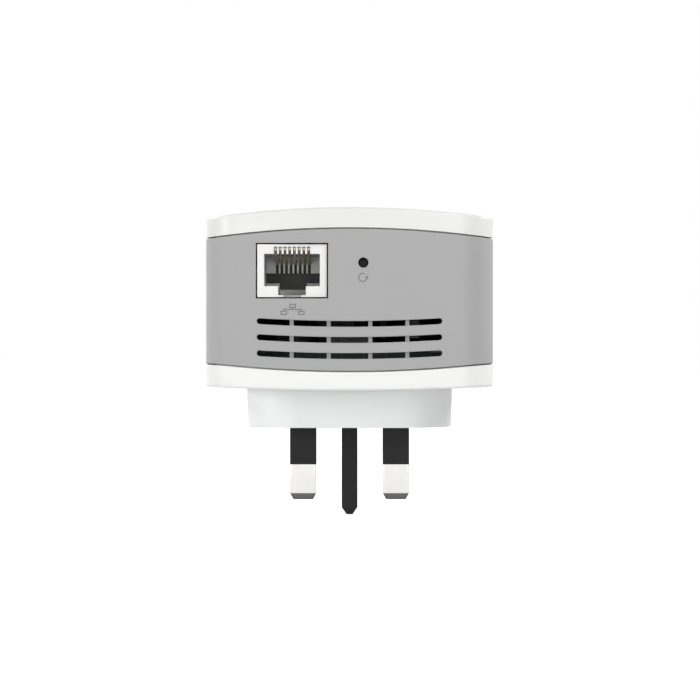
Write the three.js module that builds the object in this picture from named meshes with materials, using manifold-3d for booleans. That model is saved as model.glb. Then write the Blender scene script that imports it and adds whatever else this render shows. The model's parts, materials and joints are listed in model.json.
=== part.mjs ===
// Plug-in wireless range extender for a three-pin wall socket, in millimetres, +Z up.
// The origin lies on the flat face that meets the wall plate, in the middle of the pin pattern.
// +Z points out of the wall, +Y points up the wall, and the network port faces down, along -Y.

import * as THREE from 'three';
import { mergeVertices } from 'three/addons/utils/BufferGeometryUtils.js';
import Module from 'manifold-3d';

const wasm = await Module();
wasm.setup();

// Casing outline, seen from the front: four arcs joined by round corners
const bodyHalfWidth = 32.7;
const bodyHalfHeight = 68.1;
const sideArcRadius = 1500;
const endArcRadius = 200;
const bodyCornerRadius = 9;

// Casing depth, with the radii of the crowned faces and of the bowed parting lines
const baseStandOff = 8.5;
const bodyDepth = 42.47;
const frontCrownAcross = 213;
const frontCrownAlong = 1160;
const rearCrownAcross = 585;
const rearCrownAlong = 2319;
const rearPartingAcross = 250;
const rearPartingAlong = 1546;
const frontRimHeight = 4.51;
const rearRimHeight = 3.46;

// Casing walls and fits
const sideWall = 2;
const frontWall = 2.2;
const rearWall = 2;
const edgeRadius = 0.5;
const lipWall = 1;
const lipReach = 2;
const partingGap = 0.3;
const fitGap = 0.3;
const seatGap = 0.05;
const overrun = 1;
const weldDistance = 0.0005;

// Vent slots in both ends of the band
const ventRows = 3;
const ventPitch = 3.475;
const ventFirstRise = 4.85;
const ventSlotHeight = 1.25;
const ventHalfLength = 20.08;
const ventBowRadius = 318;
const ventRibWidth = 0.86;
const ventRibRecess = 1.2;
const ventRibShares = [-0.624, -0.224, 0.224, 0.624];

// Plug base
const baseSideShare = 0.638;
const baseHalfHeight = 30.5;
const baseCornerRadius = 12;
const baseDraft = 0.25;
const baseWall = 2.5;
const baseFaceWall = 3;
const baseEdgeRadius = 0.4;
const baseFlangeReach = 2;
const baseFlangeThickness = 1.6;

// Plug pins, to the dimensions of the British socket
const pinSpacing = 22.23;
const earthToLinePitch = 22.23;
const bladeWidth = 6.35;
const bladeThickness = 3.97;
const bladeReach = 17.7;
const bladeTipInset = 0.8;
const bladeTipHeight = 1.55;
const pinCornerRadius = 0.45;
const sleeveReach = 9.25;
const sleeveWall = 0.75;
const earthWidth = 3.97;
const earthThickness = 7.92;
const earthReach = 22.73;
const earthTipInset = 1.2;
const earthTipHeight = 1.8;
const pinHoleGap = 0.15;
const shoulderReach = 1.1;
const shoulderHeight = 2;
const tailWidth = 3.2;
const tailThickness = 2.2;
const tailLength = 5;
const earthTailLength = 2;

// Pin retainer and its screws
const retainerSideMargin = 1.11;
const retainerHalfHeight = 17;
const retainerCornerRadius = 4;
const retainerThickness = 2.5;
const retainerScrewX = 10.5;
const retainerScrewY = 3.5;
const retainerBossRadius = 2.8;
const retainerScrewHeadRadius = 2.2;
const retainerScrewHeadHeight = 1.5;
const retainerScrewRadius = 1;
const retainerScrewLength = 5.3;

// Screw threads run in holes that are this much larger in radius
const screwClearance = 0.15;
const screwSlotWidth = 0.5;
const screwSlotDepthShare = 0.5;
const screwSlotLengthShare = 0.65;

// Springs that carry the mains from the pins' tails to the power board
const leafThickness = 0.4;
const leafHalfLength = 2.2;
const leafHalfWidth = 1.5;

// Main board, hung from the front cover
const boardToFront = 8.77;
const mainBoardThickness = 1.2;
const mainBoardSideGap = 2.9;
const mainBoardEndGap = 3.8;
const mainBoardCornerRadius = 4;
const boardPostRadius = 2.6;
const boardPostSideInset = 4;
const boardPostEndInset = 11;
const boardPostPortGap = 3;
const boardScrewHeadRadius = 1.9;
const boardScrewHeadHeight = 1.3;
const boardScrewRadius = 0.9;
const boardScrewGrip = 3.4;

// Network port
const portSideInset = 20.26;
const portSetback = 1.2;
const portDepth = 18;
const portOpeningWidth = 12.03;
const portOpeningHeight = 6.99;
const portSideWall = 1.525;
const portFloor = 0.44;
const portRoof = 0.53;
const portCavityDepth = 13;
const latchWidth = 6;
const latchHeight = 1.94;
const latchNotchWidth = 3.8;
const latchNotchDepth = 1.5;
const combHeight = 1.54;
const combRecess = 0.6;
const combMargin = 0.13;
const portHoleGap = 0.22;

// Port contacts and the comb insert that guides their ends
const contactCount = 8;
const contactPitch = 1.02;
const contactWidth = 0.45;
const contactThickness = 0.25;
const contactSlotWidth = 0.6;
const contactDrop = 0.45;
const contactBendSetback = 1.2;
const contactBendRadius = 0.45;
const contactSlope = 13.2;
const contactTipDrop = 3.95;
const contactTailSetback = 13.9;
const insertThickness = 1;
const insertHeight = 3.87;
const insertBridge = 0.7;

// Tact switches, alike for both buttons
const switchWidth = 6;
const switchDepth = 3.5;
const switchHeight = 7.4;
const actuatorDrop = 4;
const actuatorRadius = 1;
const actuatorReach = 3.8;
const actuatorSink = 1.5;
const actuatorGap = 0.2;
const resetToPort = 15.44;
const resetSwitchSetback = 7.3;
const resetHoleRadius = 1.1;

// Pairing button on the side
const pairingY = 18;
const pairingHalfLength = 6;
const pairingHalfHeight = 3;
const pairingCornerShare = 0.85;
const pairingProud = 0.35;
const pairingFlangeReach = 1;
const pairingFlangeThickness = 1;
const pairingStemLength = 1;
const pairingStemHalfWidth = 1.2;
const pairingHoleGap = 0.2;

// Screening, cooling and the port's transformer on the main board
const canWall = 0.3;
const canHeight = 2.2;
const mainCanHalfWidth = 14;
const mainCanHalfLength = 14;
const mainCanPlaceShare = -0.23;
const radioCanHalfWidth = 12;
const radioCanHalfLength = 9;
const radioCanPlaceShare = 0.3;
const padHalfWidth = 10;
const padThickness = 0.5;
const spreaderHalfWidth = 20;
const spreaderHalfLength = 22;
const spreaderThickness = 1;
const magneticsHalfWidth = 4.6;
const magneticsHalfLength = 7.5;
const magneticsHeight = 5.6;
const magneticsPortGap = 3.58;
const magneticsLegs = 6;
const magneticsLegPitch = 2.2;
const magneticsLegHalfWidth = 0.3;
const magneticsLegReach = 1.4;
const magneticsLegThickness = 0.4;

// Status lights
const lightCount = 4;
const lightPitch = 8;
const lightPlaceShare = 0.6;
const ledHalfWidth = 0.8;
const ledHalfLength = 0.4;
const ledHeight = 0.7;
const guideHalfThickness = 1.6;
const guideEndReach = 2.5;
const windowHalfWidth = 0.8;
const windowHalfLength = 1.3;
const windowCornerShare = 0.9;
const windowGap = 0.1;

// Antennas along the inside of the band, with their leads
const antennaThickness = 0.8;
const antennaHalfLength = 20;
const antennaButtonGap = 1;
const antennaRise = 9.04;
const antennaPlaceY = 8;
const leadRadius = 0.6;
const leadBoardInset = 7;
const leadBoardY = 2;
const leadDropAtAntenna = 3;
const leadRun = 2;
const leadSlack = 5;

// Power board on stakes of the rear housing
const powerBoardGap = 3.1;
const powerBoardThickness = 1.6;
const powerBoardSideGap = 5.7;
const powerBoardEndReach = 5;
const powerBoardCornerRadius = 2;
const stakeBossRadius = 2.6;
const stakeBossGap = 4.4;
const stakeSideInset = 5;
const stakeRadius = 1.1;
const stakeHeadRadius = 1.9;
const stakeHeadHeight = 0.9;

// Power parts, placed as shares of the power board's half width and half length
const corePlaceShares = [-0.24, 0];
const coreHalfWidth = 10;
const coreHalfThickness = 3.5;
const coreHeight = 16;
const coreYoke = 2.5;
const coreOuterLeg = 2.5;
const coreCentreLegHalfWidth = 2.5;
const windingOverhang = 4.5;
const windingFootHalfWidth = 4;
const windingFootThickness = 1.2;
const bulkCapacitorRadius = 5;
const bulkCapacitorHeight = 16;
const bulkCapacitorPlaceShares = [[0.64, -0.66], [0.64, -0.33]];
const outputCapacitorRadius = 4;
const outputCapacitorHeight = 12;
const outputCapacitorPlaceShares = [0.36, 0.19];
const capacitorGrooveDepth = 0.35;
const capacitorGrooveHeight = 1.6;
const capacitorRimHeight = 0.25;
const capacitorRimWidth = 0.9;
const rectifierHalfWidth = 4;
const rectifierHalfLength = 3;
const rectifierHeight = 2.8;
const rectifierPlaceShares = [0.08, -0.66];
const fuseRadius = 1.6;
const fuseCapRadius = 1.9;
const fuseCapLength = 2;
const fuseHalfLength = 5;
const fusePlaceShares = [0, -0.91];
const chokeOuterRadius = 7;
const chokeInnerRadius = 3;
const chokeHeight = 7;
const chokeChamfer = 1.2;
const chokePlaceShares = [-0.56, -0.62];
const linkPins = 4;
const linkPitch = 2.54;
const linkPinHalfWidth = 0.32;
const linkBodyHalfThickness = 1.25;
const linkBodyHeight = 8.5;
const linkPlaceShares = [0, 0.62];

// Steps on round stretches
const sideSteps = 6;
const endSteps = 6;
const cornerSteps = 6;
const smallCornerSteps = 3;
const roundSides = 16;
const holeSides = 24;
const bendSteps = 6;
const ventEndSteps = 3;
const leadSides = 6;
const leadSteps = 20;
const faceShares = [0.28, 0.54, 0.78];

// Levels and edges that follow from the sizes above
const rearApex = baseStandOff;
const frontApex = rearApex + bodyDepth;
const frontPartingApex = frontApex - frontRimHeight;
const rearPartingApex = rearApex + rearRimHeight;
const lipInset = sideWall + fitGap;
const roomInset = lipInset + lipWall;

const bowl = (apex, across, along) => (x, y) => apex + x * x / (2 * across) + y * y / (2 * along);
const frontSurface = bowl(frontApex, -frontCrownAcross, -frontCrownAlong);
const frontParting = bowl(frontPartingApex, -frontCrownAcross, -frontCrownAlong);
const rearParting = bowl(rearPartingApex, rearPartingAcross, rearPartingAlong);
const rearSurface = bowl(rearApex, rearCrownAcross, rearCrownAlong);

const lineX = pinSpacing / 2;
const bladeY = -earthToLinePitch / 2;
const earthY = earthToLinePitch / 2;

// The base's side lies between the retainer inside it and the casing wall that its flange clears
const retainerHalfWidth = lineX + bladeWidth / 2 + shoulderReach + retainerSideMargin;
const narrowestBase = retainerHalfWidth + baseWall;
const widestBase = bodyHalfWidth - roomInset - baseFlangeReach;
const baseHalfWidth = narrowestBase + baseSideShare * (widestBase - narrowestBase);
const flangeHalfWidth = baseHalfWidth + baseFlangeReach;
const flangeHalfHeight = baseHalfHeight + baseFlangeReach;
const flangeSeat = rearSurface(flangeHalfWidth, flangeHalfHeight) + rearWall;
const flangeTop = flangeSeat + baseFlangeThickness;

const shoulderTop = baseFaceWall + shoulderHeight;
const retainerTop = shoulderTop + retainerThickness;
const tailTop = shoulderTop + tailLength;

const powerBoardRear = flangeTop + powerBoardGap;
const powerBoardFront = powerBoardRear + powerBoardThickness;
const stakeX = bodyHalfWidth - sideWall - powerBoardSideGap - stakeSideInset;
const stakeY = baseHalfHeight + baseFlangeReach + stakeBossGap + stakeBossRadius;
const powerBoardHalfWidth = stakeX + stakeSideInset;
const powerBoardHalfLength = stakeY + powerBoardEndReach;

const mainBoardFront = frontApex - boardToFront;
const mainBoardRear = mainBoardFront - mainBoardThickness;
const mainBoardHalfWidth = bodyHalfWidth - roomInset - mainBoardSideGap;
const mainBoardHalfLength = bodyHalfHeight - roomInset - mainBoardEndGap;

const portX = portSideInset - bodyHalfWidth;
const portFaceY = portSetback - bodyHalfHeight;
const resetX = portX + resetToPort;
const portHalfWidth = portOpeningWidth / 2 + portSideWall;
const portHeight = portFloor + latchHeight + portOpeningHeight + combHeight + portRoof;
const boardPostX = mainBoardHalfWidth - boardPostSideInset;
const boardPostPortY = portFaceY + portDepth + boardPostPortGap + boardScrewHeadRadius;
const boardPostFarY = mainBoardHalfLength - boardPostEndInset;
const boardPostPlaces = [
  [-boardPostX, boardPostPortY],
  [boardPostX, boardPostPortY],
  [-boardPostX, boardPostFarY],
  [boardPostX, boardPostFarY],
];
const evenRow = (count, pitch) => Array.from({ length: count }, (_, i) => (i - (count - 1) / 2) * pitch);
const contactXs = evenRow(contactCount, contactPitch);
const lightXs = evenRow(lightCount, lightPitch);
const lightY = lightPlaceShare * mainBoardHalfLength;

// Helpers that turn three.js geometry into solids and back
function solid(geometry) {
  const bare = geometry.clone();
  bare.deleteAttribute('normal');
  bare.deleteAttribute('uv');
  const merged = mergeVertices(bare, weldDistance);
  return new wasm.Manifold(new wasm.Mesh({
    numProp: 3,
    vertProperties: new Float32Array(merged.attributes.position.array),
    triVerts: new Uint32Array(merged.index.array),
  }));
}

function geometryOf(form) {
  const mesh = form.getMesh();
  const geometry = new THREE.BufferGeometry();
  geometry.setAttribute('position', new THREE.BufferAttribute(mesh.vertProperties, 3));
  geometry.setIndex(new THREE.BufferAttribute(mesh.triVerts, 1));
  return geometry;
}

const subtractAll = (form, cuts) => cuts.reduce((rest, cut) => rest.subtract(cut), form);
const addAll = (form, extras) => extras.reduce((whole, extra) => whole.add(extra), form);

// Skins rings of equally many points, outermost last or wrapped round; a ring of one point is a pole
function loft(rings, wrapped = false) {
  const corners = [];
  const last = wrapped ? rings.length : rings.length - 1;
  for (let i = 0; i < last; i += 1) {
    stitch(corners, rings[i], rings[(i + 1) % rings.length]);
  }
  const geometry = new THREE.BufferGeometry().setFromPoints(corners);
  return solid(geometry);
}

function stitch(corners, from, to) {
  const count = Math.max(from.length, to.length);
  for (let i = 0; i < count; i += 1) {
    const next = (i + 1) % count;
    const fromHere = from[i % from.length];
    const fromNext = from[next % from.length];
    const toHere = to[i % to.length];
    const toNext = to[next % to.length];
    if (fromHere !== fromNext) {
      corners.push(fromHere, toNext, fromNext);
    }
    if (toHere !== toNext) {
      corners.push(fromHere, toHere, toNext);
    }
  }
}

const axisFrames = {
  x: new THREE.Matrix4().set(0, 0, 1, 0, 1, 0, 0, 0, 0, 1, 0, 0, 0, 0, 0, 1),
  y: new THREE.Matrix4().set(1, 0, 0, 0, 0, 0, -1, 0, 0, 1, 0, 0, 0, 0, 0, 1),
  z: new THREE.Matrix4(),
};

// Extrudes an outline along an axis: along x it is drawn in (y, z), along y in (x, z), along z in (x, y)
function prism(points, axis, [from, to]) {
  const shape = new THREE.Shape(points);
  const geometry = new THREE.ExtrudeGeometry(shape, { depth: to - from, bevelEnabled: false });
  geometry.translate(0, 0, axis === 'y' ? -to : from);
  geometry.applyMatrix4(axisFrames[axis]);
  return solid(geometry);
}

function block([x0, x1], [y0, y1], [z0, z1]) {
  const geometry = new THREE.BoxGeometry(x1 - x0, y1 - y0, z1 - z0);
  geometry.translate((x0 + x1) / 2, (y0 + y1) / 2, (z0 + z1) / 2);
  return solid(geometry);
}

const span = (centre, half) => [centre - half, centre + half];

function arcPoints(centreU, centreV, radius, fromAngle, toAngle, steps) {
  return Array.from({ length: steps + 1 }, (_, i) => {
    const angle = fromAngle + (toAngle - fromAngle) * i / steps;
    return new THREE.Vector2(centreU + radius * Math.cos(angle), centreV + radius * Math.sin(angle));
  });
}

const circle = (radius, sides, centreU = 0, centreV = 0) =>
  arcPoints(centreU, centreV, radius, 0, 2 * Math.PI, sides).slice(0, -1);

const rod = (axis, [u, v], radius, reach, sides = roundSides) =>
  prism(circle(radius, sides, u, v), axis, reach);

function roundedRectangle(halfU, halfV, radius, steps = smallCornerSteps, centreU = 0, centreV = 0) {
  const u = halfU - radius;
  const v = halfV - radius;
  const quarter = Math.PI / 2;
  return [[u, v], [-u, v], [-u, -v], [u, -v]].flatMap(([cornerU, cornerV], i) =>
    arcPoints(centreU + cornerU, centreV + cornerV, radius, i * quarter, (i + 1) * quarter, steps));
}

const flatRing = (points, z) => points.map(({ x, y }) => new THREE.Vector3(x, y, z));

const pole = (z) => [new THREE.Vector3(0, 0, z)];

// A closed tower of outlines, given from the top down as [outline, z]
function tower(levels) {
  const rings = levels.map(([points, z]) => flatRing(points, z));
  return loft([pole(levels[0][1]), ...rings, pole(levels.at(-1)[1])]);
}

const turned = (profile, sides = roundSides) =>
  tower(profile.map(([radius, z]) => [circle(radius, sides), z]));

// The outline of a strip of even thickness that follows a path of points
function stripOutline(path, thickness) {
  const sideOf = (sign) => path.map((point, i) => {
    const before = path[Math.max(i - 1, 0)];
    const after = path[Math.min(i + 1, path.length - 1)];
    const inward = i > 0 ? point.clone().sub(before).normalize() : after.clone().sub(point).normalize();
    const outward = i < path.length - 1 ? after.clone().sub(point).normalize() : inward;
    const along = inward.clone().add(outward).normalize();
    const reach = sign * thickness / 2 / along.dot(inward);
    return new THREE.Vector2(point.x - along.y * reach, point.y + along.x * reach);
  });
  const outline = [...sideOf(-1), ...sideOf(1).reverse()];
  return THREE.ShapeUtils.isClockWise(outline) ? outline.reverse() : outline;
}

// The casing's outline drawn in by an inset; its corner circles touch the side and end arcs
const sideArcCentre = bodyHalfWidth - sideArcRadius;
const endArcCentre = bodyHalfHeight - endArcRadius;
const casingCorner = cornerCircleCentre();

function cornerCircleCentre() {
  const fromSide = sideArcRadius - bodyCornerRadius;
  const fromEnd = endArcRadius - bodyCornerRadius;
  const apart = Math.hypot(sideArcCentre, endArcCentre);
  const along = (fromSide ** 2 - fromEnd ** 2 + apart ** 2) / (2 * apart);
  const off = Math.sqrt(fromSide ** 2 - along ** 2);
  const towardEnd = new THREE.Vector2(-sideArcCentre, endArcCentre).divideScalar(apart);
  const square = new THREE.Vector2(-towardEnd.y, towardEnd.x);
  return new THREE.Vector2(sideArcCentre, 0).addScaledVector(towardEnd, along).addScaledVector(square, off);
}

function casingOutline(inset) {
  const { x, y } = casingCorner;
  const sideAngle = Math.atan2(y, x - sideArcCentre);
  const endAngle = Math.atan2(x, y - endArcCentre);
  const quarter = Math.PI / 2;
  const half = Math.PI;
  const sideReach = sideArcRadius - inset;
  const cornerReach = bodyCornerRadius - inset;
  const endReach = endArcRadius - inset;
  const oneHalf = [
    arcPoints(sideArcCentre, 0, sideReach, -sideAngle, sideAngle, sideSteps),
    arcPoints(x, y, cornerReach, sideAngle, quarter - endAngle, cornerSteps),
    arcPoints(0, endArcCentre, endReach, quarter - endAngle, quarter + endAngle, endSteps),
    arcPoints(-x, y, cornerReach, quarter + endAngle, half - sideAngle, cornerSteps),
  ].flatMap((arc) => arc.slice(0, -1));
  return [...oneHalf, ...oneHalf.map((point) => point.clone().negate())];
}

function casingRing(inset, surface, rise = 0, share = 1) {
  return casingOutline(inset).map((point) => {
    const x = point.x * share;
    const y = point.y * share;
    return new THREE.Vector3(x, y, surface(x, y) + rise);
  });
}

// Rings of a crowned face, from its middle to its edge
const faceRings = (inset, surface, rise = 0) => [
  pole(surface(0, 0) + rise),
  ...faceShares.map((share) => casingRing(inset, surface, rise, share)),
  casingRing(inset, surface, rise),
];

// Rings that round the edge between a crowned face and the casing's side
const easedEdge = (surface, sign) => {
  const halfway = edgeRadius * (1 - Math.SQRT1_2);
  return [casingRing(halfway, surface, sign * halfway), casingRing(0, surface, sign * edgeRadius)];
};

const endWallY = (x) => bodyHalfHeight - x * x / (2 * endArcRadius);
const innerSideX = (y) => bodyHalfWidth - sideWall - y * y / (2 * sideArcRadius);

// Materials
const plastic = (color, roughness) => new THREE.MeshStandardMaterial({
  color, roughness, flatShading: true,
});
const metal = (color, roughness) => new THREE.MeshStandardMaterial({
  color, roughness, metalness: 1, flatShading: true,
});
const whitePlastic = plastic(0xf1f1ef, 0.4);
const bandPlastic = plastic(0xb2b2b2, 0.5);
const portPlastic = plastic(0xf4f3f1, 0.4);
const darkPlastic = plastic(0x343434, 0.45);
const insertPlastic = plastic(0x8d8d8b, 0.5);
const clearPlastic = plastic(0xdfe6ea, 0.15);
const nickel = metal(0xe6e4df, 0.3);
const gold = metal(0xd8b76a, 0.3);
const steel = metal(0xb9bbbd, 0.4);
const aluminium = metal(0xc4c6c8, 0.5);
const boardLaminate = plastic(0x1f6b3f, 0.55);
const ferrite = plastic(0x3a3a3c, 0.6);
const tape = plastic(0xd9b43a, 0.5);
const capacitorSleeve = plastic(0x2b2f38, 0.4);
const padRubber = plastic(0x8fa3b5, 0.8);
const leadJacket = plastic(0x202020, 0.5);
const fuseGlass = plastic(0xb9c4c2, 0.2);
const ledLens = plastic(0xf2f0e2, 0.25);

const extender = new THREE.Group();

function piece(name, form, material, parent = extender) {
  const mesh = new THREE.Mesh(geometryOf(form), material);
  mesh.name = name;
  parent.add(mesh);
  return mesh;
}

function station(x, y, z, parent = extender) {
  const group = new THREE.Group();
  group.position.set(x, y, z);
  parent.add(group);
  return group;
}

// Front cover: a crowned shell with an inner lip, posts for the main board and four light windows
function frontCover() {
  const shell = loft([
    ...faceRings(edgeRadius, frontSurface),
    ...easedEdge(frontSurface, -1),
    casingRing(0, frontParting, partingGap / 2),
    casingRing(lipInset, frontParting, partingGap / 2),
    casingRing(lipInset, frontParting, -lipReach),
    casingRing(roomInset, frontParting, -lipReach),
    ...faceRings(roomInset, frontSurface, -frontWall).reverse(),
  ]);
  const posts = boardPostPlaces.map(([x, y]) =>
    rod('z', [x, y], boardPostRadius, [mainBoardFront, frontSurface(x, y) - frontWall / 2]));
  const pilots = boardPostPlaces.map(([x, y]) =>
    rod('z', [x, y], boardScrewRadius + screwClearance, [
      mainBoardFront - overrun,
      mainBoardFront + boardScrewGrip + fitGap,
    ]));
  const windowCorner = windowCornerShare * windowHalfWidth;
  const windows = lightXs.map((x) => {
    const outline = roundedRectangle(
      windowHalfWidth, windowHalfLength, windowCorner, smallCornerSteps, x, lightY);
    return prism(outline, 'z', [frontSurface(x, lightY) - frontWall - overrun, frontApex + overrun]);
  });
  return subtractAll(addAll(shell, posts), [...pilots, ...windows]);
}

// Vent rows bow with the rear parting line; each slot runs between ribs that are set back from the wall
function ventRowStops() {
  const edges = ventRibShares.flatMap((share) => span(share * ventHalfLength, ventRibWidth / 2));
  return [-ventHalfLength, ...edges, ventHalfLength];
}

function ventOutline(rowZ, fromX, toX) {
  const centreZ = rowZ + ventBowRadius;
  const half = ventSlotHeight / 2;
  const pointAt = (x, rise) => {
    const angle = Math.asin(x / ventBowRadius);
    const radius = ventBowRadius - rise;
    return new THREE.Vector2(radius * Math.sin(angle), centreZ - radius * Math.cos(angle));
  };
  const outline = [];
  if (toX === ventHalfLength) {
    const end = pointAt(toX - half, 0);
    outline.push(...arcPoints(end.x, end.y, half, -Math.PI / 2, Math.PI / 2, ventEndSteps));
  } else {
    outline.push(pointAt(toX, -half), pointAt(toX, half));
  }
  if (fromX === -ventHalfLength) {
    const end = pointAt(fromX + half, 0);
    outline.push(...arcPoints(end.x, end.y, half, Math.PI / 2, 3 * Math.PI / 2, ventEndSteps));
  } else {
    outline.push(pointAt(fromX, half), pointAt(fromX, -half));
  }
  return outline;
}

function ventCuts(endSign) {
  const stops = ventRowStops();
  const cuts = [];
  const outside = bodyHalfHeight + overrun;
  for (let row = 0; row < ventRows; row += 1) {
    const rowZ = rearPartingApex + ventFirstRise + row * ventPitch;
    for (let i = 0; i + 1 < stops.length; i += 1) {
      const isRib = i % 2 === 1;
      const ribX = (stops[i] + stops[i + 1]) / 2;
      const inside = isRib ? endWallY(ribX) - ventRibRecess : endWallY(ventHalfLength) - sideWall - overrun;
      const reach = endSign > 0 ? [inside, outside] : [-outside, -inside];
      cuts.push(prism(ventOutline(rowZ, stops[i], stops[i + 1]), 'y', reach));
    }
  }
  return cuts;
}

// The pairing button's outline in (y, z), grown or shrunk by a margin
const pairingZ = mainBoardRear - actuatorDrop;

function pairingOutline(margin) {
  const corner = pairingCornerShare * pairingHalfHeight + margin;
  return roundedRectangle(
    pairingHalfLength + margin, pairingHalfHeight + margin, corner, smallCornerSteps, pairingY, pairingZ);
}

// Side band: a ring with the port hole, the reset pinhole, the button hole and the vents
function sideBand() {
  const ring = loft([
    casingRing(0, frontParting, -partingGap / 2),
    casingRing(0, rearParting, partingGap / 2),
    casingRing(sideWall, rearParting, partingGap / 2),
    casingRing(sideWall, frontParting, -partingGap / 2),
  ], true);
  const throughPortEnd = [-bodyHalfHeight - overrun, portFaceY + sideWall + overrun];
  const portHole = block(
    span(portX, portHalfWidth + portHoleGap),
    throughPortEnd,
    [mainBoardRear - portHeight - portHoleGap, mainBoardRear + portHoleGap],
  );
  const resetPlace = [resetX, mainBoardRear - actuatorDrop];
  const resetHole = rod('y', resetPlace, resetHoleRadius, throughPortEnd, holeSides);
  const buttonHole = prism(pairingOutline(pairingHoleGap), 'x', [
    innerSideX(pairingY + pairingHalfLength) - overrun,
    bodyHalfWidth + overrun,
  ]);
  return subtractAll(ring, [portHole, resetHole, buttonHole, ...ventCuts(1), ...ventCuts(-1)]);
}

// Rear housing: a crowned tray with a flat seat round the plug base and four stakes for the power board
const stakePlaces = [[-stakeX, -stakeY], [stakeX, -stakeY], [-stakeX, stakeY], [stakeX, stakeY]];

function baseOutline(margin) {
  return roundedRectangle(
    baseHalfWidth + margin, baseHalfHeight + margin, baseCornerRadius + margin, cornerSteps);
}

function stake([x, y]) {
  const foot = rearSurface(x, y) + rearWall / 2;
  return rod('z', [x, y], stakeBossRadius, [foot, powerBoardRear])
    .add(rod('z', [x, y], stakeRadius, [foot, powerBoardFront + stakeHeadHeight / 2]))
    .add(rod('z', [x, y], stakeHeadRadius, [powerBoardFront, powerBoardFront + stakeHeadHeight]));
}

function rearHousing() {
  const shell = loft([
    ...faceRings(roomInset, rearSurface, rearWall),
    casingRing(roomInset, rearParting, lipReach),
    casingRing(lipInset, rearParting, lipReach),
    casingRing(lipInset, rearParting, -partingGap / 2),
    casingRing(0, rearParting, -partingGap / 2),
    ...easedEdge(rearSurface, 1).reverse(),
    ...faceRings(edgeRadius, rearSurface).reverse(),
  ]);
  const seat = prism(baseOutline(baseFlangeReach), 'z', [flangeSeat - rearWall / 2, flangeSeat]);
  const opening = prism(baseOutline(fitGap), 'z', [rearApex - overrun, flangeSeat + overrun]);
  const tray = shell.add(seat).subtract(opening);
  return addAll(tray, stakePlaces.map(stake));
}

// Plug base: a drafted cup with a flange inside the casing, pin holes and two screw bosses
const retainerScrewPlaces = [[-retainerScrewX, retainerScrewY], [retainerScrewX, retainerScrewY]];
const retainerPilotFoot = retainerTop - retainerScrewLength - fitGap;

function pinHole(x, y, width, thickness, gap, reach) {
  return block(span(x, width / 2 + gap), span(y, thickness / 2 + gap), reach);
}

function plugBase() {
  const eased = baseEdgeRadius * (1 - Math.SQRT1_2);
  const cup = loft([
    pole(baseFaceWall),
    flatRing(baseOutline(-baseWall), baseFaceWall),
    flatRing(baseOutline(-baseWall), flangeTop),
    flatRing(baseOutline(baseFlangeReach), flangeTop),
    flatRing(baseOutline(baseFlangeReach), flangeSeat),
    flatRing(baseOutline(0), flangeSeat),
    flatRing(baseOutline(-baseDraft), baseEdgeRadius),
    flatRing(baseOutline(-baseDraft - eased), eased),
    flatRing(baseOutline(-baseDraft - baseEdgeRadius), 0),
    pole(0),
  ]);
  const bosses = retainerScrewPlaces.map((place) =>
    rod('z', place, retainerBossRadius, [baseFaceWall / 2, shoulderTop]));
  const through = [-overrun, baseFaceWall + overrun];
  const holes = [
    pinHole(lineX, bladeY, bladeWidth, bladeThickness, pinHoleGap, through),
    pinHole(-lineX, bladeY, bladeWidth, bladeThickness, pinHoleGap, through),
    pinHole(0, earthY, earthWidth, earthThickness, pinHoleGap, through),
    ...retainerScrewPlaces.map((place) =>
      rod('z', place, retainerScrewRadius + screwClearance, [retainerPilotFoot, shoulderTop + overrun])),
  ];
  return subtractAll(addAll(cup, bosses), holes);
}

// A rectangular section with small round corners, as [outline, z]
const section = (width, thickness, z) => [roundedRectangle(width / 2, thickness / 2, pinCornerRadius), z];

// Metal pin: full blade below the sleeve, a waist that carries it, a shoulder and a tail
function metalPin() {
  const waistWidth = bladeWidth - 2 * (sleeveWall + seatGap);
  const waistThickness = bladeThickness - 2 * (sleeveWall + seatGap);
  return tower([
    section(tailWidth, tailThickness, tailTop),
    section(tailWidth, tailThickness, shoulderTop),
    section(bladeWidth + 2 * shoulderReach, bladeThickness + 2 * shoulderReach, shoulderTop),
    section(bladeWidth + 2 * shoulderReach, bladeThickness + 2 * shoulderReach, baseFaceWall),
    section(waistWidth, waistThickness, baseFaceWall),
    section(waistWidth, waistThickness, -sleeveReach),
    section(bladeWidth, bladeThickness, -sleeveReach),
    section(bladeWidth, bladeThickness, bladeTipHeight - bladeReach),
    section(bladeWidth - 2 * bladeTipInset, bladeThickness - 2 * bladeTipInset, -bladeReach),
  ]);
}

function pinSleeve() {
  const outer = roundedRectangle(bladeWidth / 2, bladeThickness / 2, pinCornerRadius);
  const bore = roundedRectangle(
    bladeWidth / 2 - sleeveWall, bladeThickness / 2 - sleeveWall, pinCornerRadius);
  return loft([
    flatRing(outer, baseFaceWall),
    flatRing(outer, -sleeveReach),
    flatRing(bore, -sleeveReach),
    flatRing(bore, baseFaceWall),
  ], true);
}

function earthPin() {
  return tower([
    section(tailWidth, earthThickness - 2 * shoulderReach, shoulderTop + earthTailLength),
    section(tailWidth, earthThickness - 2 * shoulderReach, shoulderTop),
    section(earthWidth + 2 * shoulderReach, earthThickness + 2 * shoulderReach, shoulderTop),
    section(earthWidth + 2 * shoulderReach, earthThickness + 2 * shoulderReach, baseFaceWall),
    section(earthWidth, earthThickness, baseFaceWall),
    section(earthWidth, earthThickness, earthTipHeight - earthReach),
    section(earthWidth - 2 * earthTipInset, earthThickness - 2 * earthTipInset, -earthReach),
  ]);
}

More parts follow.
